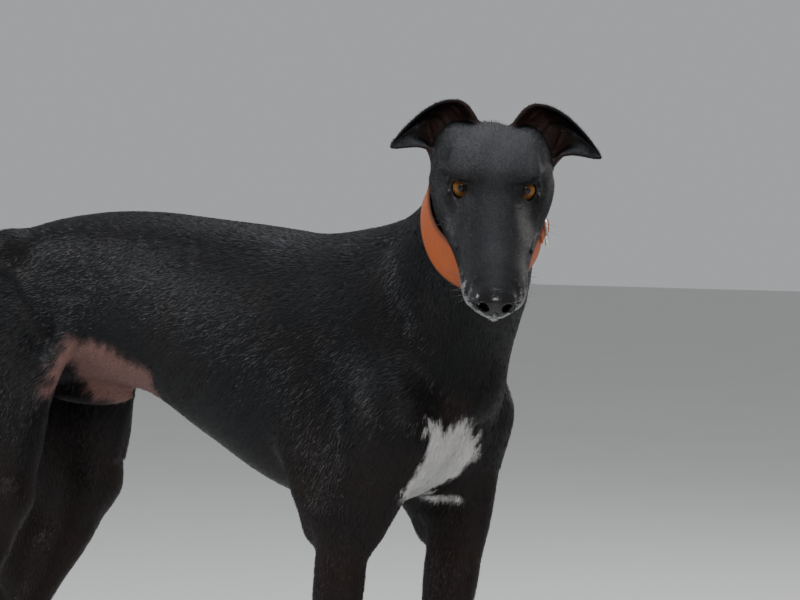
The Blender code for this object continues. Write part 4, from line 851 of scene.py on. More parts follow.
def add_fore(field, side):
    j = fore_joints(side)
    out = (0, side, 0)
    blade, shoulder, elbow, point = j["blade"], j["shoulder"], j["elbow"], j["point"]
    wrist, knuckle = j["wrist"], j["knuckle"]
    # Shoulder blade, its muscles, the point of the shoulder, and the upper arm.
    field.muscle(blade + (0, side * 0.012, 0.01), shoulder + (0.006, 0, -0.02), 0.044, 0.024, out, 0.03)
    field.ball(shoulder + (-0.006, side * -0.008, -0.004), (0.032, 0.026, 0.048), (1, 0, 0), out, 0.045)
    upper_arm = [(shoulder + (-0.008, 0, 0), 0.034, 0.025), (elbow + (0.0, 0, 0.012), 0.028, 0.021)]
    field.limb(upper_arm, out, 0.03)
    # The muscles in front of the upper arm, down to the top of the forearm.
    front = (0.006, -side * 0.006, -0.015)
    field.muscle(shoulder + front, elbow + (0.024, 0, -0.035), 0.019, 0.018, out, 0.022)
    # The triceps, from the back edge of the blade to the point of the elbow.
    field.muscle((0.094, side * 0.058, 0.570), point + (0.016, side * 0.002, -0.01), 0.042, 0.025, out, 0.025)
    # Forearm, wrist and pastern, and the forearm's muscles before and behind the bone.
    forearm = wrist - elbow
    stations = [
        (elbow + (0, 0, 0.01), 0.0280, 0.0225),
        (elbow + (0.004, 0, -0.045), 0.0255, 0.0210),
        (elbow + forearm * 0.45, 0.0190, 0.0172),
        (elbow + forearm * 0.80, 0.0145, 0.0142),
        (wrist, 0.0165, 0.0172),
        (wrist + (knuckle - wrist) * 0.35, 0.0132, 0.0155),
        (knuckle, 0.0155, 0.0190),
    ]
    field.limb(stations, out, 0.015)
    before = elbow + (0.010, side * 0.004, 0.0), elbow + forearm * 0.55 + (0.007, 0, 0)
    behind = elbow + (-0.012, -side * 0.006, -0.01), elbow + forearm * 0.5 + (-0.006, 0, 0)
    field.muscle(*before, 0.018, 0.0165, out, 0.015)
    field.muscle(*behind, 0.017, 0.016, out, 0.015)
    # The bony point of the elbow and the small bone behind the wrist.
    field.ball(point, (0.012, 0.0095, 0.018), (1, 0, 0), out, 0.012)
    field.ball(wrist + (-0.0155, side * 0.002, -0.006), (0.007, 0.0065, 0.011), (1, 0, 0), out, 0.010)
    add_paw(field, knuckle, side, FOREFOOT_SIZE)


print("right elbow at", fore_joints(-1)["elbow"].round(3))


# %% Hind legs
def hind_joints(side):
    """Where the joints of a hind leg are."""
    step = HIND_STEP[side]
    return {
        "hip": np.array((-0.378, side * 0.050, 0.595)),
        "knee": np.array((-0.314 + 0.5 * step, side * 0.080, 0.390)),
        "hock": np.array((-0.420 + step, side * 0.074, 0.192)),
        "heel": np.array((-0.456 + step, side * 0.074, 0.210)),
        "knuckle": np.array((-0.426 + step, side * 0.074, 0.043)),
    }


def add_hind(field, side):
    j = hind_joints(side)
    out = (0, side, 0)
    hip, knee, hock, heel, knuckle = j["hip"], j["knee"], j["hock"], j["heel"], j["knuckle"]
    # The thigh: front, back and outer muscles, which fill the side of the rump.
    front = hip + (0.036, side * 0.006, 0.02), knee + (0.004, 0, -0.010)
    back = hip + (-0.052, -side * 0.004, 0.01), knee + (-0.045, side * -0.004, -0.04)
    outer = hip + (-0.012, side * 0.012, 0.04), knee + (-0.020, side * 0.002, 0.0)
    field.muscle(*front, 0.047, 0.033, out, 0.03)
    field.muscle(*back, 0.050, 0.033, out, 0.035)
    field.muscle(*outer, 0.072, 0.031, out, 0.035)
    field.ball(knee + (0.000, 0, 0.004), (0.024, 0.021, 0.032), (1, 0, 0), out, 0.025)
    # The second thigh, the hock, its tendon and the pastern.
    shin, pastern = hock - knee, knuckle - hock
    stations = [
        (knee + (-0.006, 0, 0.0), 0.034, 0.026),
        (knee + shin * 0.30, 0.029, 0.0235),
        (knee + shin * 0.62, 0.0190, 0.0170),
        (hock, 0.0180, 0.0155),
        (hock + pastern * 0.30, 0.0150, 0.0140),
        (hock + pastern * 0.65, 0.0125, 0.0145),
        (knuckle, 0.0155, 0.0185),
    ]
    field.limb(stations, out, 0.02)
    field.muscle(knee + (-0.050, 0, 0.035), hock + (-0.012, 0, 0.055), 0.027, 0.023, out, 0.025)
    calf = knee + shin * 0.35 + np.array((-0.022, 0, -0.012))
    tendon = [(calf, 0.014, 0.012), (hock + (-0.028, 0, 0.06), 0.0068, 0.0062), (heel, 0.0092, 0.0082)]
    field.limb(tendon, out, 0.018)
    # The skin between that tendon and the shin, and the heel.
    web = knee + shin * 0.45 + (-0.016, 0, 0), hock + (-0.014, 0, 0.012)
    field.muscle(*web, 0.022, 0.0075, out, 0.014)
    heel_bone = [(heel + (0, 0, 0.001), 0.0095, 0.0085), (hock + (-0.014, 0, -0.035), 0.0080, 0.0090)]
    field.limb(heel_bone, out, 0.014)
    add_paw(field, knuckle, side, HINDFOOT_SIZE)


print("right hock at", hind_joints(-1)["hock"].round(3))

# %% [markdown]
# ## From field to skin
#
# To turn the field into faces we lay a grid over it, put one point in every cell that the surface
# crosses, and join neighbouring points. The fine cells go where the eye goes: the head and the
# feet. Each region is meshed by itself, trimmed to a flat plane, and sewn to the next one, so the
# skin stays in one piece. The skin lies a little inside the solids, by the depth of the coat.

# %% Mesh a field on a grid
CORNERS = np.array([(i, j, k) for i in (0, 1) for j in (0, 1) for k in (0, 1)])
BLOCK = 4
BLOCK_MARGIN = 1.3
FILL_ROUNDS = 40


def is_split(code):
    """Whether the inside or the outside corners of a cell form two groups or more."""
    for wanted in (0, 1):
        corners = [i for i in range(8) if (code >> i) & 1 == wanted]
        group = corners[:1]
        for a in group:
            group += [b for b in corners if b not in group and np.abs(CORNERS[a] - CORNERS[b]).sum() == 1]
        if len(group) < len(corners):
            return True
    return False


SPLIT = np.array([is_split(code) for code in range(256)])


def corner_values(grid, i, j, k):
    """One corner of every cell of a grid."""
    x, y, z = grid.shape
    return grid[i : x - 1 + i, j : y - 1 + j, k : z - 1 + k]


def fill_doubtful(value):
    """Fills in corners until every cell is crossed by one sheet at most, and returns the crossed cells."""
    for _ in range(FILL_ROUNDS):
        inside = (value < 0).astype(np.int32)
        code = np.zeros([n - 1 for n in value.shape], np.int32)
        for bit, (i, j, k) in enumerate(CORNERS):
            code += corner_values(inside, i, j, k) << bit
        bad = np.argwhere(SPLIT[code])
        if not len(bad):
            break
        corners = bad[:, None, :] + CORNERS[None]
        near = value[tuple(corners.reshape(-1, 3).T)].reshape(-1, 8)
        chosen = np.argmin(np.where(near < 0, 9.0, near), axis=1)
        value[tuple(corners[np.arange(len(bad)), chosen].T)] = -1e-6
    return (code > 0) & (code < 255)


def field_mesh(field, low, high, step):
    """Meshes the field's surface: one point in each cell that it crosses."""
    low = np.asarray(low, float)
    count = np.ceil((np.asarray(high) - low) / step).astype(int) + 1
    count = ((count + BLOCK - 1) // BLOCK) * BLOCK + 1
    axes = [low[i] + step * np.arange(count[i]) for i in range(3)]
    rough = np.stack(np.meshgrid(*[a[::BLOCK] for a in axes], indexing="ij"), -1)
    shape = rough.shape[:3]
    rough_value = field(rough.reshape(-1, 3)).reshape(shape)
    # Only blocks near the surface are worked out finely.
    near = np.abs(rough_value) < step * BLOCK * BLOCK_MARGIN
    block = np.any([corner_values(near, *corner) for corner in CORNERS], axis=0)
    wanted = np.zeros(count, bool)
    for i, j, k in np.argwhere(block) * BLOCK:
        wanted[i : i + BLOCK + 1, j : j + BLOCK + 1, k : k + BLOCK + 1] = True
    value = rough_value
    for axis in range(3):
        value = np.repeat(value, BLOCK, axis)
    value = np.where(value[: count[0], : count[1], : count[2]] < 0, -FAR, FAR)
    index = np.argwhere(wanted)
    value[tuple(index.T)] = field(low + index * step)

    cells = fill_doubtful(value)
    inside = value < 0
    cell_index = np.argwhere(cells)
    number = np.full(cells.shape, -1)
    number[tuple(cell_index.T)] = np.arange(len(cell_index))
    # Each cell's point is the mean of where its edges cross the surface.
    sums = np.zeros((len(cell_index), 3))
    hits = np.zeros(len(cell_index))
    for axis in range(3):
        others = [a for a in range(3) if a != axis]
        for o1, o2 in ((0, 0), (0, 1), (1, 0), (1, 1)):
            a = cell_index.copy()
            a[:, others[0]] += o1
            a[:, others[1]] += o2
            b = a.copy()
            b[:, axis] += 1
            va, vb = value[tuple(a.T)], value[tuple(b.T)]
            cross = (va < 0) != (vb < 0)
            t = np.where(cross, va / np.where(cross, va - vb, 1), 0)
            p = a.astype(float)
            p[:, axis] += t
            sums[cross] += p[cross]
            hits += cross
    verts = low + sums / hits[:, None] * step
    faces = []
    for axis in range(3):
        b1, b2 = (axis + 1) % 3, (axis + 2) % 3
        lo, hi = [slice(None)] * 3, [slice(None)] * 3
        lo[axis], hi[axis] = slice(None, -1), slice(1, None)
        where = np.argwhere(inside[tuple(lo)] != inside[tuple(hi)])
        where = where[(where[:, b1] > 0) & (where[:, b2] > 0)]
        where = where[(where[:, b1] < count[b1] - 1) & (where[:, b2] < count[b2] - 1)]
        corner = []
        for o1, o2 in ((-1, -1), (0, -1), (0, 0), (-1, 0)):
            c = where.copy()
            c[:, b1] += o1
            c[:, b2] += o2
            corner.append(number[tuple(c.T)])
        quad = np.stack(corner, 1)
        flip = ~inside[tuple(where.T)]
        quad[flip] = quad[flip][:, ::-1]
        faces.append(quad)
    return verts, np.concatenate(faces)


SLOPE_STEP = 0.0006
MOST_MOVE = 0.004


def settle(field, points, depth):
    """Moves points to where they lie under the field's surface by a depth."""
    value = field(points)
    slope = np.stack([(field(points + SLOPE_STEP * axis) - value) / SLOPE_STEP for axis in np.eye(3)], -1)
    size = np.maximum((slope * slope).sum(-1), 0.05)
    for _ in range(2):
        move = (value + depth(points)) / size
        points = points - slope * np.clip(move, -MOST_MOVE, MOST_MOVE)[:, None]
        value = field(points)
    return points


print("doubtful cell patterns:", int(SPLIT.sum()))

# %% [markdown]
# The coat's depth isn't the same all over. On the face, ears and feet the hair is so short that
# the skin almost touches the solids. On the back and neck it lies a little over a millimetre inside.


# %% The coat's depth
def smooth(x, low, high):
    """0 below low, 1 above high, and smooth between."""
    t = np.clip((np.asarray(x, float) - low) / (high - low), 0, 1)
    return t * t * (3 - 2 * t)


LEAST_DEPTH = 0.00035
MORE_DEPTH = 0.0010


def coat_depth(points):
    """How far the skin lies inside the solids."""
    from_head = np.linalg.norm(points - on_head(-0.02, 0, 0), axis=1)
    body = smooth(from_head, 0.10, 0.22)
    feet = smooth(points[:, 2], 0.04, 0.30)
    return LEAST_DEPTH + MORE_DEPTH * body * feet


print("depth on the back:", coat_depth(np.array([(0.0, 0.0, 0.69)]))[0])


# %% Trim and sew
def trimmed(verts, quads, planes):
    """Cuts a mesh by (point, outward way) planes, and gives it back as arrays."""
    mesh = bpy.data.meshes.new("part")
    fill_mesh(mesh, verts, quads)
    bm = bmesh.new()
    bm.from_mesh(mesh)
    for point, way in planes:
        geometry = bm.verts[:] + bm.edges[:] + bm.faces[:]
        bmesh.ops.bisect_plane(bm, geom=geometry, dist=1e-7, plane_co=point, plane_no=way, clear_outer=True)
    bm.verts.index_update()
    points = np.array([v.co[:] for v in bm.verts])
    faces = [[v.index for v in f.verts] for f in bm.faces]
    loops = open_loops(bm)
    bm.free()
    bpy.data.meshes.remove(mesh)
    return points, faces, loops


def fill_mesh(mesh, verts, faces):
    """Puts points and faces of equal length into a mesh quickly."""
    faces = np.asarray(faces)
    mesh.vertices.add(len(verts))
    mesh.vertices.foreach_set("co", np.asarray(verts, np.float32).ravel())
    mesh.loops.add(faces.size)
    mesh.loops.foreach_set("vertex_index", faces.astype(np.int32).ravel())
    mesh.polygons.add(len(faces))
    mesh.polygons.foreach_set("loop_start", np.arange(0, faces.size, faces.shape[1], dtype=np.int32))
    mesh.update(calc_edges=True)


def open_loops(bm):
    """The rims of an open mesh, each as an ordered list of its points."""
    following = {}
    for edge in bm.edges:
        if len(edge.link_faces) == 1:
            loop = edge.link_loops[0]
            following[loop.vert.index] = loop.link_loop_next.vert.index
    rims = []
    while following:
        start, at = following.popitem()
        rim = [start]
        while at != start and at in following:
            rim.append(at)
            at = following.pop(at)
        rims.append(rim)
    return sorted(rims, key=len, reverse=True)


def sew(points, rim_a, rim_b, way):
    """A strip of triangles between two rims that face each other across a plane."""
    a, b = list(rim_a), list(rim_b)[::-1]
    centre = points[a].mean(0)
    e1 = unit(np.cross(way, (0.31, 0.87, 0.4)))
    e2 = np.cross(way, e1)

    def angles(rim):
        q = points[rim] - centre
        return np.arctan2(q @ e2, q @ e1)

    def turned(rim):
        first = int(np.argmin(angles(rim)))
        return rim[first:] + rim[:first]

    if np.sum(np.diff(np.unwrap(angles(a)))) < 0:
        a, b = a[::-1], b[::-1]
    a, b = turned(a), turned(b)
    i = j = 0
    faces = []
    while i < len(a) or j < len(b):
        pa, pb = points[a[i % len(a)]], points[b[j % len(b)]]
        next_a, next_b = points[a[(i + 1) % len(a)]], points[b[(j + 1) % len(b)]]
        move_a = j >= len(b) or (i < len(a) and np.linalg.norm(next_a - pb) <= np.linalg.norm(next_b - pa))
        if move_a:
            face = [a[i % len(a)], b[j % len(b)], a[(i + 1) % len(a)]]
            i += 1
        else:
            face = [a[i % len(a)], b[j % len(b)], b[(j + 1) % len(b)]]
            j += 1
        faces.append(face)
    # All of the strip faces outward.
    p = points[np.array(faces)]
    outward = np.einsum("ij,ij->i", np.cross(p[:, 1] - p[:, 0], p[:, 2] - p[:, 0]), p.mean(1) - centre)
    return [face[::-1] for face in faces] if outward.sum() < 0 else faces


print("trim and sew ready")

# %% [markdown]
# Now the regions. The neck is cut through where the collar will hide the seam, and each leg a
# hand's width above the floor. Between two trimmed rims a gap smaller than a cell of the body is
# left, and the sewing fills it.

# %% Make the whole skin
NECK_SEAM_WAY = unit((0.51, -0.71, 0.49))
NECK_SEAM = 0.573
FOOT_SEAM = 0.110
BODY_STEP = 0.0031
HEAD_STEP = 0.00102
FOOT_STEP = 0.0016
SEAM_HALF = 0.0012
BODY_LOW, BODY_HIGH = (-0.66, -0.20, FOOT_SEAM - 0.02), (0.46, 0.16, 0.82)
HEAD_REACH = 0.19
FOOT_REACH = np.array((0.075, 0.038))
SOLE = 0.0002

whole = Field()
add_trunk(whole)
for side in (1, -1):
    add_fore(whole, side)
    add_hind(whole, side)
for add in (add_belly, add_tail, add_neck, add_skull):
    add(whole)
for side in (1, -1):
    add_ear(whole, side)
add_face_details(whole)


def region(low, high, step, planes):
    verts, quads = field_mesh(whole, low, high, step)
    verts = settle(whole, verts, coat_depth)
    return trimmed(verts, quads, planes)


def build_skin():
    """The whole skin: body, head and feet, each meshed by itself, trimmed and sewn to the body."""
    seam, half = NECK_SEAM_WAY * NECK_SEAM, NECK_SEAM_WAY * SEAM_HALF
    body_planes = [(seam - half, NECK_SEAM_WAY), ((0, 0, FOOT_SEAM + SEAM_HALF), (0, 0, -1))]
    head_planes = [(seam + half, -NECK_SEAM_WAY)]
    foot_planes = [((0, 0, FOOT_SEAM - SEAM_HALF), (0, 0, 1))]
    parts = [region(BODY_LOW, BODY_HIGH, BODY_STEP, body_planes)]
    parts.append(region(HEAD_AT - HEAD_REACH, HEAD_AT + HEAD_REACH, HEAD_STEP, head_planes))
    for side in (1, -1):
        for joints in (fore_joints(side), hind_joints(side)):
            at = joints["knuckle"][:2]
            low, high = (*(at - FOOT_REACH), -0.01), (*(at + FOOT_REACH), FOOT_SEAM + 0.01)
            parts.append(region(low, high, FOOT_STEP, foot_planes))
    points, faces, rims = [], [], []
    start = 0
    for verts, part_faces, loops in parts:
        points.append(verts)
        faces += [[start + i for i in f] for f in part_faces]
        rims.append([[start + i for i in rim] for rim in loops])
        start += len(verts)
        print("region:", len(verts), "points,", [len(r) for r in loops[:5]], "rims")
    points = np.concatenate(points)
    points[:, 2] = np.maximum(points[:, 2], SOLE)
    body_rims = rims[0]
    for (rim, *_), way in zip(rims[1:], [NECK_SEAM_WAY] + [np.array((0, 0, -1.0))] * 4):
        centre = points[rim].mean(0)
        nearest = min(body_rims, key=lambda other: np.linalg.norm(points[other].mean(0) - centre))
        faces += sew(points, nearest, rim, way)
    return points, faces


skin_points, skin_faces = build_skin()
print("skin:", len(skin_points), "points,", len(skin_faces), "faces")

# %% [markdown]
# ## Where each part of the coat begins
#
# Later steps need to know, for any point of the skin, whether it is on an ear, the head, a leg and
# so on, and which way the hair lies there. Hair on a dog grows from the nose back over the skull,
# down the neck, back along the ribs and down the legs. We describe that lie by a few directions
# and blend between them.

# %% Weights for the parts, and the lie of the hair
HEAD_SIDE = np.array((0.700, 0.0, 0.714)) @ HEAD_AXES
HEAD_ROOT = on_head(-0.112, 0.0, -0.008)
NECK_ROOT = np.array((0.195, 0.0, 0.603))
NECK_SIDE = unit((0.74, -0.08, 0.66))
EAR_NEAR = 0.008
# Ways of the hair on the back, the thigh, the lower leg, the neck and the tail.
BACK_LIE = (-1.0, 0.0, -0.30)
THIGH_LIE = np.array((-0.40, 0.0, -0.95))
SHIN_LIE = np.array((-0.10, 0.0, -1.0))
NECK_LIE = unit(NECK[2][0] - np.array(NECK[5][0])) + np.array((0.0, 0.0, -0.35))
TAIL_LIE = np.array((-0.25, 0.0, -1.0))


def level_head(points):
    """Points measured from between the eyes with the head held level: forward, left and up."""
    return (points - HEAD_AT) @ np.array(LEVEL)


def ear_places(points):
    """For each point: whether it is on an ear, how far towards the tip, across it, and its side."""
    on_ear, along, across, facing = np.zeros((4, len(points)))
    level = level_head(points)
    for side, tree in EAR_TREES.items():
        box = (level[:, 1] * side > 0.012) & (level[:, 2] > 0.020) & (level[:, 0] < -0.035)
        for i in np.flatnonzero(box):
            near, _, face, gap = tree.find_nearest(points[i])
            if gap > EAR_NEAR:
                continue
            row, column = divmod(face, EAR_ACROSS - 1)
            along[i] = row / (EAR_ROWS - 1)
            across[i] = column / (EAR_ACROSS - 1)
            on_ear[i] = smooth(gap, 0.0045, 0.0028)
            facing[i] = np.sign((points[i] - np.array(near)) @ HEAD_AXES[0])
    return on_ear, along, across, facing


def part_weights(points):
    """How much each point belongs to the head, the neck, a leg, the lower legs and the tail."""
    head = smooth((points - HEAD_ROOT) @ HEAD_SIDE, -0.01, 0.03)
    neck = smooth((points - NECK_ROOT) @ NECK_SIDE, -0.03, 0.05) * (1 - head)
    x, z = points[:, 0], points[:, 2]
    fore = smooth(x, 0.06, 0.12) * smooth(-z, -0.56, -0.44) * (1 - head) * (1 - neck)
    hind = smooth(-x, 0.24, 0.30) * smooth(-z, -0.60, -0.48)
    tail = smooth(-x, 0.478, 0.492) * smooth(-x - 0.55 * z, 0.10, 0.13)
    limb = np.maximum(fore, hind) * (1 - tail)
    low = smooth(-z, -0.42, -0.34)
    return head, neck, limb, low, tail


def mixed(below, above, share):
    """Rows that go from below to above as their share goes from 0 to 1."""
    return below + (above - below) * share[:, None]


def lie(points, normals):
    """The way the hair lies, along the skin."""
    head, neck, limb, low, tail = part_weights(points)
    flow = np.tile(BACK_LIE, (len(points), 1))
    # Lower on the ribs the hair turns down towards the belly.
    flow[:, 2] -= 0.5 * smooth(-points[:, 2], -0.62, -0.50)
    flow = mixed(flow, mixed(THIGH_LIE, SHIN_LIE, low), limb)
    flow = mixed(flow, NECK_LIE, neck)
    q = in_head(points)
    face = -HEAD_AXES[0] + HEAD_AXES[1] * (0.30 * np.sign(q[:, 1:2]) * smooth(np.abs(q[:, 1:2]), 0.002, 0.02))
    face = face - HEAD_AXES[2] * 0.25 * smooth(-q[:, 2:3], -0.005, 0.03)
    flow = mixed(flow, face, head)
    flow = mixed(flow, TAIL_LIE, tail)
    flow = flow - normals * np.sum(flow * normals, axis=1, keepdims=True)
    return flow / np.maximum(np.linalg.norm(flow, axis=1, keepdims=True), 1e-6)


print("parts ready")

# %% [markdown]
# ## Markings
#
# The dog is black with a brown cast on its legs, a ragged white patch on the breast, frosted lips,
# and thin, pinkish skin in the groin. A pale line over the right brow is a painted highlight. Each
# marking is a number from 0 to 1, worked out from a place on the body. The skin and every hair use
# the same numbers, so they always agree.

# %% Work out the markings
# The white patch's outline on the breast, seen from the front: leftward and height.
BREAST = (
    (-0.070, 0.500), (-0.062, 0.476), (-0.061, 0.456), (-0.066, 0.424), (-0.020, 0.405),
    (0.036, 0.406), (0.016, 0.423), (0.021, 0.432), (0.023, 0.450), (0.029, 0.459),
    (0.009, 0.485), (-0.027, 0.500), (-0.043, 0.490), (-0.058, 0.500),
)
# The thinly haired groin, seen from the side: forward and height.
GROIN = (
    (-0.262, 0.500), (-0.256, 0.530), (-0.236, 0.566), (-0.172, 0.553), (-0.116, 0.531), (-0.128, 0.498),
    (-0.210, 0.480),
)


def outline_distance(points, outline):
    """The signed distance of flat points from a closed outline, negative inside."""
    a = np.asarray(outline, float)
    b = np.roll(a, -1, 0)
    best = np.full(len(points), 9.0)
    inside = np.zeros(len(points), bool)
    for p, q in zip(a, b):
        edge = q - p
        w = points - p
        t = np.clip(w @ edge / (edge @ edge), 0, 1)
        best = np.minimum(best, np.linalg.norm(w - t[:, None] * edge, axis=1))
        crosses = (p[1] > points[:, 1]) != (q[1] > points[:, 1])
        rise = q[1] - p[1] if q[1] != p[1] else 1e-9
        inside ^= crosses & (points[:, 0] < p[0] + (points[:, 1] - p[1]) * (q[0] - p[0]) / rise)
    return np.where(inside, -best, best)


def ripple(points, scale, seed):
    """A smooth, random looking number between about -1 and 1 for each point."""
    draw = np.random.default_rng(seed)
    total = np.zeros(len(points))
    for _ in range(7):
        way = unit(draw.normal(size=3)) * scale * draw.uniform(0.6, 1.6)
        total += np.sin(points @ way * 2 * math.pi + draw.uniform(0, 6.3))
    return total / 3.0


def in_ball(q, centre, radii):
    """How deep head points lie in an ellipsoid: below 1 inside."""
    return np.sqrt((((q - np.asarray(centre)) / np.asarray(radii)) ** 2).sum(1))


def markings(points, ears):
    """The marks at each point, by name."""
    on_ear, along, _, facing = ears
    head, neck, limb, low, tail = part_weights(points)
    q = in_head(points)
    ragged = ripple(points, 90, 3) * 0.0022 + ripple(points, 260, 4) * 0.0016
    marks = {}
    front = smooth(points[:, 0], 0.150, 0.175) * (1 - neck) * smooth(-points[:, 2], -0.52, -0.50)
    patch = outline_distance(points[:, 1:], BREAST) + ragged * 1.6
    spot = np.linalg.norm(points[:, 1:] - (0.040, 0.409), axis=1) - 0.004 + ragged * 0.5
    marks["white"] = smooth(-np.minimum(patch, spot), -0.0012, 0.0022) * front
    beside = np.abs(points[:, 1]) < 0.080
    groin = outline_distance(points[:, [0, 2]], GROIN) + ragged * 2
    marks["bare"] = smooth(-groin, -0.006, 0.010) * beside * (1 - limb * 0.6)
    nose = in_ball(q, (0.1345, 0, -0.0150), (0.0125, 0.0196, 0.0122)) + ragged * 8
    marks["nose"] = smooth(-nose, -1.03, -0.97) * head
    lip = np.min([np.linalg.norm(q - p, axis=1) for p in LIP_POINTS], axis=0)
    marks["lip"] = smooth(-lip, -0.0034, -0.0016) * head
    chin = 0.85 * smooth(-q[:, 2] + ragged * 2, 0.009, 0.027) * smooth(q[:, 0] + ragged * 3, 0.058, 0.122)
    under_nose = 0.5 * smooth(q[:, 0], 0.128, 0.136) * smooth(-q[:, 2], 0.024, 0.030)
    chin = np.clip(chin + under_nose, 0, 1)
    cheek = smooth(-in_ball(q, (0.034, -0.038, -0.016), (0.026, 0.012, 0.014)), -1.0, -0.3) * 0.22
    # A pale line over the right brow: a painted highlight, summed into the frost mark with the grey hairs of
    # chin and cheek.
    brow = smooth(-in_ball(q, (0.002, -0.026, 0.0135), (0.006, 0.010, 0.003)), -1.0, -0.5) * 0.4
    marks["frost"] = np.clip(chin + cheek + brow, 0, 1) * head * (1 - marks["nose"])
    eyes = [(EYE_AHEAD + 0.004, side * EYE_SIDE, EYE_UP + 0.001) for side in (1, -1)]
    lids = np.min([in_ball(q, eye, (0.0130, 0.0128, 0.0112)) for eye in eyes], axis=0)
    marks["lid"] = smooth(-lids, -1.08, -0.95) * head
    marks["inner"] = on_ear * (facing > 0) * smooth(-along, -0.60, -0.10)
    marks["pad"] = smooth(-points[:, 2], -0.0075, -0.0045)
    brown = 0.30 * limb + 0.35 * low * limb + 0.25 * smooth(-points[:, 2], -0.50, -0.43)
    above = smooth(-np.linalg.norm(points - (0.255, -0.035, 0.512), axis=1), -0.032, -0.008)
    marks["brown"] = np.clip(brown + 0.9 * above + 0.18 * ripple(points, 14, 5), 0, 1) * (1 - 0.5 * head)
    marks["headward"] = head
    marks["limb"] = np.clip(limb + tail, 0, 1)
    return marks


print("outline points:", len(BREAST), "and", len(GROIN))


# %% Put the skin together
def fix_winding(mesh):
    """Turns all faces outward."""
    bm = bmesh.new()
    bm.from_mesh(mesh)
    bmesh.ops.remove_doubles(bm, verts=bm.verts, dist=1e-7)
    bmesh.ops.recalc_face_normals(bm, faces=bm.faces)
    bm.to_mesh(mesh)
    bm.free()


def add_piece(name, mesh, paint, smooth_faces=True, turn_outward=False):
    """Adds a mesh that rides on the dog, in the model's own frame."""
    mesh.transform(Matrix.Translation(Vector(-ORIGIN)))
    if smooth_faces:
        mesh.polygons.foreach_set("use_smooth", np.ones(len(mesh.polygons), bool))
    if turn_outward:
        fix_winding(mesh)
    piece = bpy.data.objects.new(name, mesh)
    bpy.context.scene.collection.objects.link(piece)
    piece.data.materials.append(paint.material)
    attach(piece, "root")
    return piece


def store(mesh, values):
    for name, value in values.items():
        layer = mesh.attributes.new(name, "FLOAT", "POINT")
        layer.data.foreach_set("value", np.asarray(value, np.float32))


def triangles(faces):
    return np.array([(f[0], f[i], f[i + 1]) for f in faces for i in range(1, len(f) - 1)])


skin_triangles = triangles(skin_faces)
skin_mesh = bpy.data.meshes.new("skin")
fill_mesh(skin_mesh, skin_points, skin_triangles)
skin_normals = np.zeros(len(skin_points) * 3)
skin_mesh.vertices.foreach_get("normal", skin_normals)
skin_normals = skin_normals.reshape(-1, 3)
skin_ears = ear_places(skin_points)
skin_marks = markings(skin_points, skin_ears)
store(skin_mesh, skin_marks)
print("skin triangles:", len(skin_triangles), "on the ears:", int((skin_ears[0] > 0.5).sum()))
print("marks:", ", ".join(skin_marks))

# %% [markdown]
# ## The finish of skin and coat
#
# Black fur isn't a flat black. Each hair is glossy and slightly blue where the sky shines on it,
# and brown where it is thin. One function builds this finish for the skin and for the hairs, so
# the colours are the same. The skin adds a bump that is drawn out along the lie of the hair.


# %% Coat paint
BLACK = (0.0042, 0.0044, 0.0056)
DEEP_BLACK = (0.0022, 0.0022, 0.0028)
BROWN = (0.016, 0.0085, 0.0065)
WHITE = (0.50, 0.49, 0.48)
# Pale grey for the frosted chin and cheek, and for the painted highlight over the right brow.
FROST_AND_HIGHLIGHT = (0.31, 0.31, 0.32)
BARE = (0.170, 0.092, 0.080)
INNER = (0.020, 0.0095, 0.0080)
LEATHERY = (0.0035, 0.0032, 0.0036)


def coat_colour(paint, tone):
    """The coat's colour from its marks. tone goes from 0 to 1 and varies from hair to hair."""
    colour = paint.blend(paint.mask("brown"), BLACK, BROWN)
    colour = paint.blend(tone * 0.55, colour, DEEP_BLACK)
    colour = paint.blend((paint.mask("bare") * (0.55 + tone * 0.45)).clip(), colour, BARE)
    colour = paint.blend((paint.mask("inner") * 0.85).clip(), colour, INNER)
    # The frost mark holds grey hairs on chin and cheek, and a painted highlight over the right brow.
    frost = (paint.mask("frost") * 1.15 - tone * 0.65).clip()
    colour = paint.blend(frost, colour, FROST_AND_HIGHLIGHT)
    return paint.blend(paint.mask("white"), colour, WHITE)


def make_skin_paint():
    paint = Paint("coat skin", Specular_IOR_Level=0.14, Coat_Roughness=0.16)
    place = paint.place()
    speckle = paint.noise(900, place, 2.0).step(0.35, 0.65)
    colour = coat_colour(paint, speckle)
    dark = paint.mask("nose") + paint.mask("lid") + paint.mask("lip") + paint.mask("pad")
    colour = paint.blend(dark.clip(), colour, LEATHERY)
    paint.feed("Base Color", colour)
    rough = 0.44 + paint.noise(60, place) * 0.10 + paint.mask("bare") * 0.12 + paint.mask("inner") * 0.15
    rough = rough - paint.mask("nose") * 0.24 - paint.mask("lid") * 0.10 + paint.mask("pad") * 0.25
    paint.feed("Roughness", rough.clip())
    paint.feed("Coat Weight", (paint.mask("nose") * 0.6 + paint.mask("lid") * 0.3).clip())
    # Streaks along the hair: one set of stretched noise for the trunk, the head and the legs.
    head, limb = paint.mask("headward"), paint.mask("limb")
    trunk = paint.noise(420, paint.stretch(place, (0.18, 1.0, 0.75)), 3.0)
    legs = paint.noise(420, paint.stretch(place, (1.0, 1.0, 0.16)), 3.0)
    face = paint.noise(700, paint.stretch(place, (1.0, 1.0, 1.0)), 3.0)
    streak = trunk * (1 - head - limb).clip() + legs * limb + face * head
    pebble = paint.cells(620, place).step(0.0, 0.9)
    wet = paint.mask("nose")
    height = streak * (1 - wet) * 0.8 + pebble * wet * 0.55
    paint.feed("Normal", paint.bump(height, 0.0006, 0.75))
    return paint


skin_paint = make_skin_paint()
skin = add_piece("skin", skin_mesh, skin_paint)
SIDED = [part + side for part in ("foreleg", "hindleg", "ear") for side in ("_left", "_right")]
FLESH = ("torso", "neck", "head", "tail", *SIDED)
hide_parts(*FLESH)
print("skin is in place")

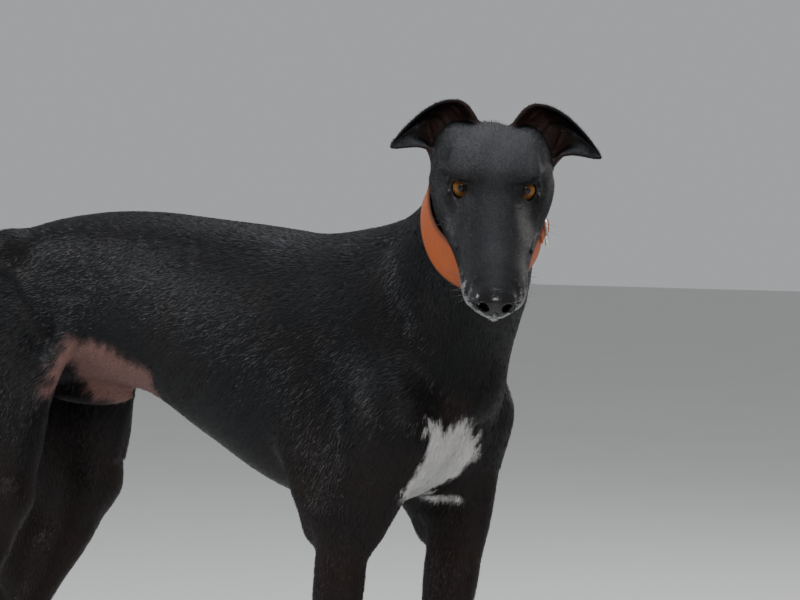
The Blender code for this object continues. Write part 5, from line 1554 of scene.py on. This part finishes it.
# %% [markdown]
# ## Eyes
#
# A dog's eye that fills its lids shows almost no white. The amber iris has fine rays, a gold inner
# part and a dark outer ring, and the clear cornea bulges a little over it. We turn a profile round
# the eye's line of sight, and keep each point's place on the iris as three numbers, which the
# shader uses for the rays. A strong clear coat makes the eye wet.

# %% Eyeballs
EYE_TURNS = 72
EYE_RINGS = 60
BACK_RINGS = 16
IRIS_ANGLE = math.radians(58)
CORNEA_RISE = 0.00055


def eye_paint():
    cornea = {"Coat_Weight": 1.0, "Coat_Roughness": 0.02, "Coat_IOR": 1.38}
    paint = Paint("eye", Roughness=0.35, Specular_IOR_Level=0.15, IOR=1.36, **cornea)
    ray = paint.vector("iris")
    out = paint.mask("outward")
    fibres = paint.noise(1.0, ray, 4.0, 0.65)
    place = (out + (fibres - 0.5) * 0.16).clip()
    stops = (
        (0.00, (0.002, 0.002, 0.002)),
        (0.27, (0.002, 0.002, 0.002)),
        (0.32, (0.100, 0.042, 0.012)),
        (0.56, (0.230, 0.100, 0.024)),
        (0.78, (0.380, 0.190, 0.052)),
        (0.90, (0.520, 0.310, 0.110)),
        (0.97, (0.120, 0.060, 0.024)),
        (1.00, (0.030, 0.018, 0.014)),
    )
    colour = paint.node("ShaderNodeValToRGB", {"stops": stops}, {0: place}, "Color")
    dark = fibres.step(0.45, 0.30) * 0.35
    paint.feed("Base Color", paint.blend(dark, colour, (0.10, 0.045, 0.012)))
    return paint


def eyeball(name, side, paint):
    gaze, out, rise = eye_axes(side)
    centre = eye_at(side)
    # The eyeball turns a little outward in its socket, so that the pupil is in the opening's middle.
    gaze = unit(gaze + 0.07 * out)
    out = unit(out - gaze * (out @ gaze))
    rise = np.cross(gaze, out) * side
    front = np.linspace(0, IRIS_ANGLE * 1.08, EYE_RINGS - BACK_RINGS)
    tilt = np.concatenate([front, np.linspace(IRIS_ANGLE * 1.16, math.pi, BACK_RINGS)])
    verts, place, outward = [], [], []
    for a in tilt:
        radius = EYE_RADIUS - 0.0003 + CORNEA_RISE * smooth(-a, -IRIS_ANGLE, -IRIS_ANGLE * 0.3)
        for t in turns_round(EYE_TURNS):
            way = gaze * math.cos(a) + (out * math.cos(t) + rise * math.sin(t)) * math.sin(a)
            verts.append(centre + way * radius)
            share = a / IRIS_ANGLE
            place.append((math.cos(t) * 7.0, math.sin(t) * 7.0, share * 1.2))
            outward.append(min(share, 1.0))
    mesh = bpy.data.meshes.new(name)
    fill_mesh(mesh, verts, grid_quads(EYE_RINGS, EYE_TURNS, round_across=True))
    store(mesh, {"outward": outward})
    layer = mesh.attributes.new("iris", "FLOAT_VECTOR", "POINT")
    layer.data.foreach_set("vector", np.array(place, np.float32).ravel())
    return add_piece(name, mesh, paint, turn_outward=True)


eye_finish = eye_paint()
for side, word in ((1, "left"), (-1, "right")):
    ball = eyeball("eyeball_" + word, side, eye_finish)
    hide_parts("eye_" + word)
print("eyes in place")


# %% Lid rims
def tube(path, radii, around, side, closed=False):
    """Points and faces of a tube along a path, with a radius at each point."""
    path = np.asarray(path, float)
    count = len(path)
    turns = turns_round(around)[:, None]
    verts = []
    for i in range(count):
        before = path[i - 1] if closed or i else path[0]
        after = path[(i + 1) % count] if closed or i < count - 1 else path[-1]
        way = unit(after - before)
        e2 = unit(np.cross(side, way))
        e3 = np.cross(way, e2)
        verts.append(path[i] + radii[i] * (np.cos(turns) * e2 + np.sin(turns) * e3))
    return np.concatenate(verts), grid_quads(count, around, closed, True)


def lid_rim(side):
    """The moist, dark edge of both lids, from the tear corner round to the outer corner."""
    gaze, out, rise = eye_axes(side)
    centre = eye_at(side)
    path, radii = [], []
    for t in np.linspace(0, 2 * math.pi, 72, endpoint=False):
        inner = smooth(-math.cos(t), 0.80, 1.0)
        outer = smooth(math.cos(t), 0.86, 1.0)
        u = EYE_WIDE / 2 * math.cos(t) - 0.0010 * inner + 0.0004 * outer - EYE_INWARD
        v = EYE_HIGH / 2 * math.sin(t) * (1 - 0.25 * inner) - 0.0016 * inner - 0.0004 * outer
        over = EYE_RADIUS + 0.0004
        depth = math.sqrt(max(over * over - u * u - v * v, 0.000004))
        path.append(centre + out * u + rise * v + gaze * depth)
        radii.append(0.00075 + 0.00030 * max(math.sin(t), 0))
    return tube(path, radii, 10, gaze, closed=True)


def joined_mesh(name, parts):
    """One mesh from several (points, faces) parts with faces of the same length."""
    verts, faces, start = [], [], 0
    for part_verts, part_faces in parts:
        verts.append(np.asarray(part_verts))
        faces.append(np.asarray(part_faces) + start)
        start += len(part_verts)
    mesh = bpy.data.meshes.new(name)
    fill_mesh(mesh, np.concatenate(verts), np.concatenate(faces))
    return mesh


lid_paint = Paint("lid rim", Roughness=0.34, Specular_IOR_Level=0.3, Coat_Weight=0.2, Coat_Roughness=0.15)
lid_colour = lid_paint.blend(lid_paint.noise(700), (0.008, 0.006, 0.006), (0.020, 0.013, 0.012))
lid_paint.feed("Base Color", lid_colour)
lid_mesh = joined_mesh("lid_rims", [lid_rim(1), lid_rim(-1)])
add_piece("lid_rims", lid_mesh, lid_paint, turn_outward=True)
print("lids in place")

# %% [markdown]
# ## Claws
#
# Claws are horn: dark and curved, and one grows from the end of each toe.

# %% Claws
CLAW_LENGTH = 0.015
CLAW_RADIUS = 0.0030
CLAW_RINGS = 12
CLAW_SPREAD = 5.0


def claw(root, turn):
    verts = []
    for t in np.linspace(0, 1, CLAW_RINGS):
        radius = CLAW_RADIUS * (1 - 0.72 * t ** 1.3) * (1 if t < 1 else 0.15)
        lean = math.radians(18 + 42 * t)
        ahead = CLAW_LENGTH * (t - 0.15 * t * t) * 0.985
        drop = CLAW_LENGTH * (0.30 * t + 0.38 * t * t)
        for a in turns_round(CLAW_RINGS):
            up = radius * 1.15 * math.cos(a)
            across = radius * 0.85 * math.sin(a)
            verts.append((ahead + up * math.sin(lean), across, -drop + up * math.cos(lean)))
    spin = Matrix.Rotation(turn, 3, "Z")
    faces = grid_quads(CLAW_RINGS, CLAW_RINGS, round_across=True)
    return [np.array(spin @ Vector(v)) + root for v in verts], faces


def all_claws():
    parts = []
    for side in (1, -1):
        for joints, size in ((fore_joints(side), FOREFOOT_SIZE), (hind_joints(side), HINDFOOT_SIZE)):
            for (_, _, tip), (across, _) in zip(toe_points(joints["knuckle"], side, size), TOES):
                parts.append(claw(tip + (0.0045, 0, 0.0030), across * side * CLAW_SPREAD))
    return parts


claw_paint = Paint("horn", Roughness=0.38, Specular_IOR_Level=0.5)
horn = claw_paint.noise(260, claw_paint.stretch(claw_paint.place(), (0.3, 1.0, 1.0)))
claw_paint.feed("Base Color", claw_paint.blend(horn, (0.012, 0.009, 0.008), (0.050, 0.038, 0.030)))
claw_paint.feed("Normal", claw_paint.bump(horn, 0.0003, 0.6))
claws = all_claws()
add_piece("claws", joined_mesh("claws", claws), claw_paint, turn_outward=True)
print("claws:", len(claws))

# %% [markdown]
# ## The collar
#
# A broad strip of plain tan leather lies round the top of the neck. The solid gives its shape in
# few faces, so we feel for the solid's outer face with rays, smooth what they find, and sweep a
# finer strip with rounded, darker edges along it. The ring on the left side is steel wire bent to
# a D, held by a folded tab of the same leather.

# %% Feel for the collar's shape
COLLAR_AT = np.array((0.327, -0.089, 0.700))
COLLAR_WAY = (0.50, -0.64, 0.40)
COLLAR_WIDE = 0.046
COLLAR_THICK = 0.0030
BAND_TURNS = 240
NAPE_TURN = math.radians(145)
NAPE_SHIFT = 0.009
RAY_REACH = 0.16
NECK_GAP = 0.0013
BAND_SMOOTHING = 10
BAND_SUNK = 0.0002
BAND_THICK = 0.0026
BAND_EDGE = 0.0011


def axes_at(point, along, up=(0, 0, 1)):
    """Turns places in axes of their own, the first along a direction, into places on the dog."""
    e1, e3, right = square_axes(along, up)
    matrix = np.stack([e1, -right, e3], 1)
    return lambda local: np.asarray(local, float) @ matrix.T + np.asarray(point, float)


collar_place = axes_at(COLLAR_AT, COLLAR_WAY)
skin_tree = mesh_tree(skin_points, skin_triangles)


def nape_share(turn):
    """1 on the nape's right side, where the strip has slipped back, and 0 on the throat."""
    return float(smooth(math.cos(turn - NAPE_TURN), -0.2, 0.9))


def solid_tree(node):
    mesh = frame["nodes"][node].data
    points = [np.array(v.co) + ORIGIN for v in mesh.vertices]
    return BVHTree.FromPolygons([Vector(p) for p in points], [list(f.vertices) for f in mesh.polygons])


def band_radii(stations):
    """The solid collar's outer radius for each turn and place along its axis, drawn in to the neck."""
    tree = solid_tree("collar")
    found, drawn = np.zeros((2, BAND_TURNS, len(stations)))
    turns = turns_round(BAND_TURNS)
    for i, turn in enumerate(turns):
        for k, along in enumerate(stations):
            start = Vector(collar_place((along, RAY_REACH * math.cos(turn), RAY_REACH * math.sin(turn))))
            way = (Vector(collar_place((along, 0, 0))) - start).normalized()
            hit = tree.ray_cast(start, way, RAY_REACH)
            found[i, k] = RAY_REACH - hit[3] if hit[0] is not None else np.nan
            inside = Vector(collar_place((along - NAPE_SHIFT * nape_share(turn), 0, 0)))
            hit = skin_tree.ray_cast(inside, -way, RAY_REACH)
            drawn[i, k] = hit[3] + NECK_GAP + COLLAR_THICK if hit[0] is not None else 1.0
    loose = smooth(-np.cos(turns), -0.6, 0.0)[:, None]
    found = found + (np.minimum(found, drawn) - found) * loose
    for _ in range(BAND_SMOOTHING):
        found = (np.roll(found, 1, 0) + found * 2 + np.roll(found, -1, 0)) / 4
    return found - BAND_SUNK


band_stations = np.array((-0.0215, -0.0120, -0.0040, 0.0040, 0.0120, 0.0215))
band_outer = band_radii(band_stations)
print("collar radius", round(float(band_outer.min()), 4), "to", round(float(band_outer.max()), 4))


# %% Sweep the leather strip
def band_mesh():
    """The strip: a long section with rounded edges, swept round the neck."""
    half, thick = COLLAR_WIDE / 2 - 0.0003, BAND_THICK
    flat = half - BAND_EDGE
    section = []
    for end, height in ((1, 0.0), (-1, -thick)):
        section += [(a, height) for a in np.linspace(-end * flat, end * flat, 22)]
        for t in np.linspace(end * math.pi / 2, -math.pi / 2 - (end < 0) * math.pi, 9)[1:-1]:
            section.append((end * flat + BAND_EDGE * math.cos(t), thick / 2 * (math.sin(t) - 1)))
    section = np.array(section)
    edge = smooth(np.abs(section[:, 0]), half - 0.0060, half - 0.0004)
    # Points on the strip's inner face, which lies against the neck.
    inside = (section[:, 1] < -thick * 0.7) * 1.0
    verts = []
    for turn, outer in zip(turns_round(BAND_TURNS), band_outer):
        radius = np.interp(section[:, 0], band_stations, outer) + section[:, 1]
        along = section[:, 0] - NAPE_SHIFT * nape_share(turn)
        verts.append(collar_place(np.stack([along, radius * math.cos(turn), radius * math.sin(turn)], -1)))
    mesh = bpy.data.meshes.new("collar_band")
    fill_mesh(mesh, np.concatenate(verts), grid_quads(BAND_TURNS, len(section), True, True))
    store(mesh, {"edge": np.tile(edge, BAND_TURNS), "lining": np.tile(inside, BAND_TURNS)})
    return mesh


def leather_paint():
    paint = Paint("tan leather", Specular_IOR_Level=0.45)
    place = paint.place()
    wear = paint.noise(38, place, 4.0, 0.6)
    blotch = paint.noise(9, place, 3.0)
    grain = paint.cells(900, place)
    fine = paint.noise(1500, place, 2.0)
    colour = paint.blend(blotch, (0.30, 0.056, 0.006), (0.38, 0.078, 0.009))
    colour = paint.blend(wear.step(0.50, 0.75) * 0.45, colour, (0.46, 0.120, 0.018))
    colour = paint.blend(grain.step(0.35, 0.05) * 0.25, colour, (0.14, 0.034, 0.008))
    edge = (paint.mask("edge") * (0.72 + wear * 0.3)).clip()
    colour = paint.blend(edge, colour, (0.090, 0.024, 0.008))
    # The inner face, against the neck, is coloured a darker brown.
    colour = paint.blend(paint.mask("lining"), colour, (0.10, 0.040, 0.020))
    paint.feed("Base Color", colour)
    paint.feed("Roughness", (0.46 + wear * 0.22 + edge * 0.08).clip())
    height = grain.step(0.0, 0.5) * 0.6 + fine * 0.25 + wear * 0.4
    paint.feed("Normal", paint.bump(height, 0.0005, 0.6))
    return paint


leather = leather_paint()
band = add_piece("collar_band", band_mesh(), leather, turn_outward=True)
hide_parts("collar")
steel = Paint("steel wire", Metallic=1.0, Base_Color=(0.62, 0.60, 0.57, 1))
steel.feed("Roughness", steel.noise(300) * 0.15 + 0.16)
for node, paint in (("collar_tab", leather), ("collar_ring", steel)):
    part = frame["nodes"][node]
    part.data.materials.clear()
    part.data.materials.append(paint.material)
print("collar in place")


# %% [markdown]
# ## The coat
#
# A greyhound's hair is short and lies flat, so most of it is the skin's own bump. What shows that
# it is hair is where it breaks the form: at the outline, and in the sheen, which falls apart into
# fine streaks. So we grow thin, flat tufts from the skin, each a blade of three triangles that lies
# along the coat. They are longest on the trunk and the neck, and only two or three millimetres on
# the face and the feet.

# %% Sow the roots
# The marks each tuft carries; frost includes the painted highlight over the right brow.
TUFT_MARKS = ("white", "bare", "inner", "frost", "brown")
# For each part: how far apart the roots are, and the length, width and rise of a tuft.
TUFTS = {
    "trunk": (0.00175, 0.0085, 0.00050, 0.0012),
    "neck": (0.00165, 0.0085, 0.00048, 0.0012),
    "foreleg": (0.00155, 0.0058, 0.00042, 0.0009),
    "hindleg": (0.00160, 0.0062, 0.00042, 0.0010),
    "tail": (0.00150, 0.0080, 0.00045, 0.0013),
    "head": (0.00110, 0.0034, 0.00027, 0.0005),
    "ear": (0.00110, 0.0028, 0.00026, 0.0004),
}
PART_NAMES = list(TUFTS)


def part_numbers(points, on_ear):
    """Which part of PART_NAMES each point is on."""
    head, neck, limb, _, tail = part_weights(points)
    x, z = points[:, 0], points[:, 2]
    number = np.zeros(len(points), int)
    number[neck > 0.5] = PART_NAMES.index("neck")
    number[(x > 0) & (z < 0.445) & (limb > 0.4)] = PART_NAMES.index("foreleg")
    number[(x < 0) & (z < 0.500) & (limb > 0.4)] = PART_NAMES.index("hindleg")
    number[tail > 0.5] = PART_NAMES.index("tail")
    number[head > 0.5] = PART_NAMES.index("head")
    number[on_ear > 0.5] = PART_NAMES.index("ear")
    return number


def sow():
    """Roots spread evenly over the skin, each with its normal, its part and its marks."""
    corners = skin_points[skin_triangles]
    middle = corners.mean(1)
    area = np.linalg.norm(np.cross(corners[:, 1] - corners[:, 0], corners[:, 2] - corners[:, 0]), axis=1) / 2
    on_ear = skin_ears[0][skin_triangles].mean(1)
    part = part_numbers(middle, on_ear)
    spacing = np.array([TUFTS[name][0] for name in PART_NAMES])[part]
    marks = {name: skin_marks[name][skin_triangles].mean(1) for name in skin_marks}
    wanted = area / spacing ** 2
    wanted = wanted * (1 - smooth(marks["nose"] + marks["lid"] + marks["lip"] + marks["pad"], 0.2, 0.6))
    wanted = wanted * (1 - 0.80 * marks["bare"]) * (1 - 0.55 * marks["inner"])
    # Nothing grows through the collar.
    along = (middle - COLLAR_AT) @ unit(COLLAR_WAY)
    under = smooth(-np.abs(along + 0.004), -0.0285, -0.0245) * (part == PART_NAMES.index("neck"))
    wanted = wanted * (1 - under)
    # The feet have smaller and closer tufts.
    wanted = wanted * (1 + 0.8 * smooth(-middle[:, 2], -0.09, -0.05))
    ends = np.cumsum(wanted)
    count = int(ends[-1])
    place = (np.arange(count) + rng.uniform(0, 1, count)) * ends[-1] / count
    chosen = np.minimum(np.searchsorted(ends, place), len(area) - 1)
    a, b = rng.uniform(0, 1, (2, count))
    flip = a + b > 1
    a[flip], b[flip] = 1 - a[flip], 1 - b[flip]
    weights = np.stack([1 - a - b, a, b], 1)[:, :, None]
    roots = (corners[chosen] * weights).sum(1)
    normals = (skin_normals[skin_triangles[chosen]] * weights).sum(1)
    normals /= np.linalg.norm(normals, axis=1, keepdims=True)
    return roots, normals, part[chosen], {name: marks[name][chosen] for name in TUFT_MARKS}


tuft_roots, tuft_normals, tuft_parts, tuft_marks = sow()
print("tufts:", len(tuft_roots), dict(zip(PART_NAMES, np.bincount(tuft_parts))))

# %% [markdown]
# The hair doesn't grow in perfect rows. Neighbouring hairs lean together into small locks, so each
# tuft turns by a slowly changing angle, plus a little of its own. A tuft also rises a little
# towards its tip and bends back to the body, so that it stays close to the skin. Only where the
# body is thin and round, as at the tail's tip, do straight tufts stand off by some millimetres.


# %% Grow the tufts
def tuft_shape(roots, normals, part):
    """Five points for each tuft: a pair at the root, a pair half way and the tip."""
    size = np.array([TUFTS[name][1:] for name in PART_NAMES])[part]
    length, width, rise = size.T
    small_feet = smooth(-roots[:, 2], -0.10, -0.04)
    q = in_head(roots)
    muzzle = smooth(q[:, 0], 0.02, 0.11) * (part == PART_NAMES.index("head"))
    shrink = (1 - 0.55 * small_feet) * (1 - 0.40 * muzzle)
    length = length * shrink * rng.uniform(0.70, 1.15, len(roots))
    width = width * (1 - 0.3 * small_feet) * rng.uniform(0.75, 1.25, len(roots))
    rise = rise * shrink * rng.uniform(0.45, 1.15, len(roots))
    way = lie(roots, normals)
    across = np.cross(normals, way)
    sway = 0.16 * ripple(roots, 55, 11) + 0.10 * ripple(roots, 150, 12) + rng.normal(0, 0.09, len(roots))
    way = way * np.cos(sway)[:, None] + across * np.sin(sway)[:, None]
    across = np.cross(normals, way)
    roll = rng.normal(0, 0.30, len(roots))
    flat = across * np.cos(roll)[:, None] + normals * np.sin(roll)[:, None]
    half = flat * (width / 2)[:, None]
    middle = roots + way * (length * 0.50)[:, None] + normals * (rise * 0.85)[:, None]
    tip = roots + way * length[:, None] + normals * rise[:, None]
    sunk = roots - normals * 0.0002
    return np.stack([sunk - half * 0.8, sunk + half * 0.8, middle + half, middle - half, tip], 1)


def over_eye(points):
    """Whether points lie over an open eye."""
    found = np.zeros(len(points), bool)
    for side in (1, -1):
        gaze, out, rise = eye_axes(side)
        q = points - eye_at(side)
        u, v = (q @ out + EYE_INWARD) / (EYE_WIDE / 2), q @ rise / (EYE_HIGH / 2)
        found |= (u * u + v * v < 1.1) & (q @ gaze > 0) & (np.linalg.norm(q, axis=1) < 0.02)
    return found


LEG_LINES = {
    "foreleg": (fore_joints, ("knuckle", "wrist", "elbow", "shoulder")),
    "hindleg": (hind_joints, ("knuckle", "hock", "knee", "hip")),
}


def unwrap(points, name):
    """Where roots lie on a part laid flat: round its axis, and along it."""
    if name == "ear":
        _, along, across, facing = ear_places(points)
        left = level_head(points)[:, 1] > 0
        u = 0.04 + 0.20 * across + 0.25 * (facing > 0) + 0.5 * left
        return np.stack([u, 0.04 + 0.92 * along], -1)
    if name == "head":
        q = in_head(points)
        turn = np.arctan2(q[:, 1], q[:, 2] + 0.022)
        along = (q[:, 0] + 0.14) / 0.30
    elif name == "neck":
        q = points - (0.27, -0.06, 0.655)
        along_way = unit((0.60, -0.36, 0.42))
        e2 = unit(np.cross((0, 0, 1), along_way))
        e3 = np.cross(along_way, e2)
        turn = np.arctan2(q @ e2, q @ e3)
        along = (q @ along_way + 0.20) / 0.40
    elif name == "trunk":
        turn = np.arctan2(points[:, 1], points[:, 2] - 0.57)
        along = (points[:, 0] + 0.50) / 0.82
    elif name == "tail":
        turn = np.arctan2(points[:, 1] - 0.007, points[:, 0] + 0.535)
        along = (points[:, 2] - 0.20) / 0.46
    else:
        joints_of, order = LEG_LINES[name]
        centre = np.zeros((len(points), 2))
        for side in (1, -1):
            mine = (points[:, 1] > 0) == (side > 0)
            x, y, z = np.array([joints_of(side)[joint] for joint in order]).T
            centre[mine] = np.stack([np.interp(points[mine, 2], z, line) for line in (x, y)], -1)
        turn = np.arctan2(points[:, 1] - centre[:, 1], points[:, 0] - centre[:, 0])
        along = points[:, 2] / 0.62
    return np.stack([0.01 + 0.98 * (turn / (2 * math.pi) + 0.5), 0.01 + 0.98 * np.clip(along, 0, 1)], -1)


MOST_TRIANGLES = 190000
# The three triangles of a tuft, and where its five points lie on the flat map.
BLADE = np.array(((0, 1, 2), (0, 2, 3), (3, 2, 4)))
PATCH = np.array(((-0.0012, -0.0015), (0.0012, -0.0015), (0.0015, 0.0), (-0.0015, 0.0), (0.0, 0.0015)))


def coat_paint():
    paint = Paint("coat hair", Specular_IOR_Level=0.22)
    tone = paint.mask("tone")
    paint.feed("Base Color", coat_colour(paint, tone))
    paint.feed("Roughness", (0.34 + tone * 0.16 + paint.mask("white") * 0.15).clip())
    return paint


def add_tufts(name, chosen, part_name, paint):
    """One piece of coat from the chosen tufts."""
    shape = tuft_shape(tuft_roots[chosen], tuft_normals[chosen], tuft_parts[chosen])
    clear = ~(over_eye(shape[:, 0]) | over_eye(shape[:, 4]))
    shape, chosen = shape[clear], chosen[clear]
    count = len(shape)
    faces = (BLADE[None] + 5 * np.arange(count)[:, None, None]).reshape(-1, 3)
    mesh = bpy.data.meshes.new(name)
    fill_mesh(mesh, shape.reshape(-1, 3), faces)
    place = unwrap(tuft_roots[chosen], part_name)
    corners = (place[:, None, :] + PATCH[None]).reshape(-1, 2)[faces.ravel()]
    layer = mesh.uv_layers.new(name="OFBake")
    layer.data.foreach_set("uv", corners.astype(np.float32).ravel())
    values = {mark: np.repeat(tuft_marks[mark][chosen], 5) for mark in TUFT_MARKS}
    tone = np.clip(0.5 + 0.22 * ripple(tuft_roots[chosen], 120, 13) + rng.normal(0, 0.22, count), 0, 1)
    values["tone"] = np.repeat(tone, 5)
    store(mesh, values)
    return add_piece(name, mesh, paint, smooth_faces=False)


hair = coat_paint()
total = 0
for number, part_name in enumerate(PART_NAMES):
    mine = np.flatnonzero(tuft_parts == number)
    left = tuft_roots[mine, 1] > 0
    groups = {part_name: mine}
    if part_name in ("foreleg", "hindleg", "trunk"):
        groups = {part_name + "_left": mine[left], part_name + "_right": mine[~left]}
    for name, chosen in groups.items():
        pieces = max(1, math.ceil(len(chosen) * 3 / MOST_TRIANGLES))
        # Long parts are split along the body, so each piece keeps to one stretch of it.
        order = chosen[np.argsort(tuft_roots[chosen, 0])]
        for k in range(pieces):
            share = order[k * len(order) // pieces : (k + 1) * len(order) // pieces]
            title = "tufts_" + name + ("" if pieces == 1 else "_" + str(k + 1))
            add_tufts(title, share, part_name, hair)
            total += len(share) * 3
print("coat triangles:", total)

# %% [markdown]
# Whiskers grow in rows from the whisker pads, longest towards the back, with a few over the eyes,
# on the cheeks and under the chin.


# %% Whiskers
WHISKER_RADIUS = 0.00018
WHISKER_POINTS = 9
PAD_ROWS = 3
PAD_COLUMNS = 5


def whisker(root, way, droop, length):
    """A bent, tapering thread."""
    steps = np.linspace(0, 1, WHISKER_POINTS)
    way = unit(way)
    path = [root + way * length * t + np.asarray(droop) * length * t * t for t in steps]
    radii = WHISKER_RADIUS * (1 - 0.85 * steps)
    return tube(path, radii, 5, unit(np.cross(way, (0.31, 0.2, 0.93))))


def surface_root(ahead, side, height):
    """The skin's point at a place on the side of the head."""
    start = on_head(ahead, side * 0.09, height)
    target = on_head(ahead, 0.0, height)
    way = unit(target - start)
    hit = skin_tree.ray_cast(Vector(start), Vector(way))
    return np.array(hit[0]) + way * 0.0005 if hit[0] is not None else target


fwd, left, up = HEAD_AXES
threads = []
for side in (1, -1):
    out = left * side
    for row in range(PAD_ROWS):
        for k in range(PAD_COLUMNS):
            ahead = 0.122 - 0.0085 * k - 0.001 * row + rng.uniform(-0.001, 0.001)
            height = -0.0165 - 0.0042 * row + rng.uniform(-0.0008, 0.0008)
            way = out * 0.80 - fwd * (0.25 + 0.20 * k) - up * (0.50 + 0.16 * row) + rng.normal(0, 0.09, 3)
            length = 0.009 + 0.0036 * k + rng.uniform(0, 0.003)
            threads.append(whisker(surface_root(ahead, side, height), way, -fwd * 0.25 - up * 0.1, length))
    for k in range(4):
        root = surface_root(0.100 - 0.012 * k, side, -0.0390)
        way = out * 0.5 - up * 0.9 + rng.normal(0, 0.12, 3)
        threads.append(whisker(root, way, -fwd * 0.3, 0.011 + 0.002 * k))
    for k in range(3):
        root = surface_root(-0.004 - 0.004 * k, side, 0.0185 - 0.001 * k)
        way = out * 0.5 + up * 0.8 + fwd * 0.3 + rng.normal(0, 0.1, 3)
        threads.append(whisker(root, way, -fwd * 0.35, 0.016))
    for k in range(2):
        root = surface_root(0.006 - 0.008 * k, side, -0.030)
        way = out * 0.9 - up * 0.4 + rng.normal(0, 0.1, 3)
        threads.append(whisker(root, way, -fwd * 0.3 - up * 0.1, 0.020))
whisker_paint = Paint("whisker", Roughness=0.35)
whisker_colour = whisker_paint.blend(whisker_paint.noise(200), (0.010, 0.010, 0.011), (0.09, 0.085, 0.08))
whisker_paint.feed("Base Color", whisker_colour)
add_piece("whiskers", joined_mesh("whiskers", threads), whisker_paint)
print("whiskers:", len(threads))

# %% [markdown]

# %% Finish
print("scene built")
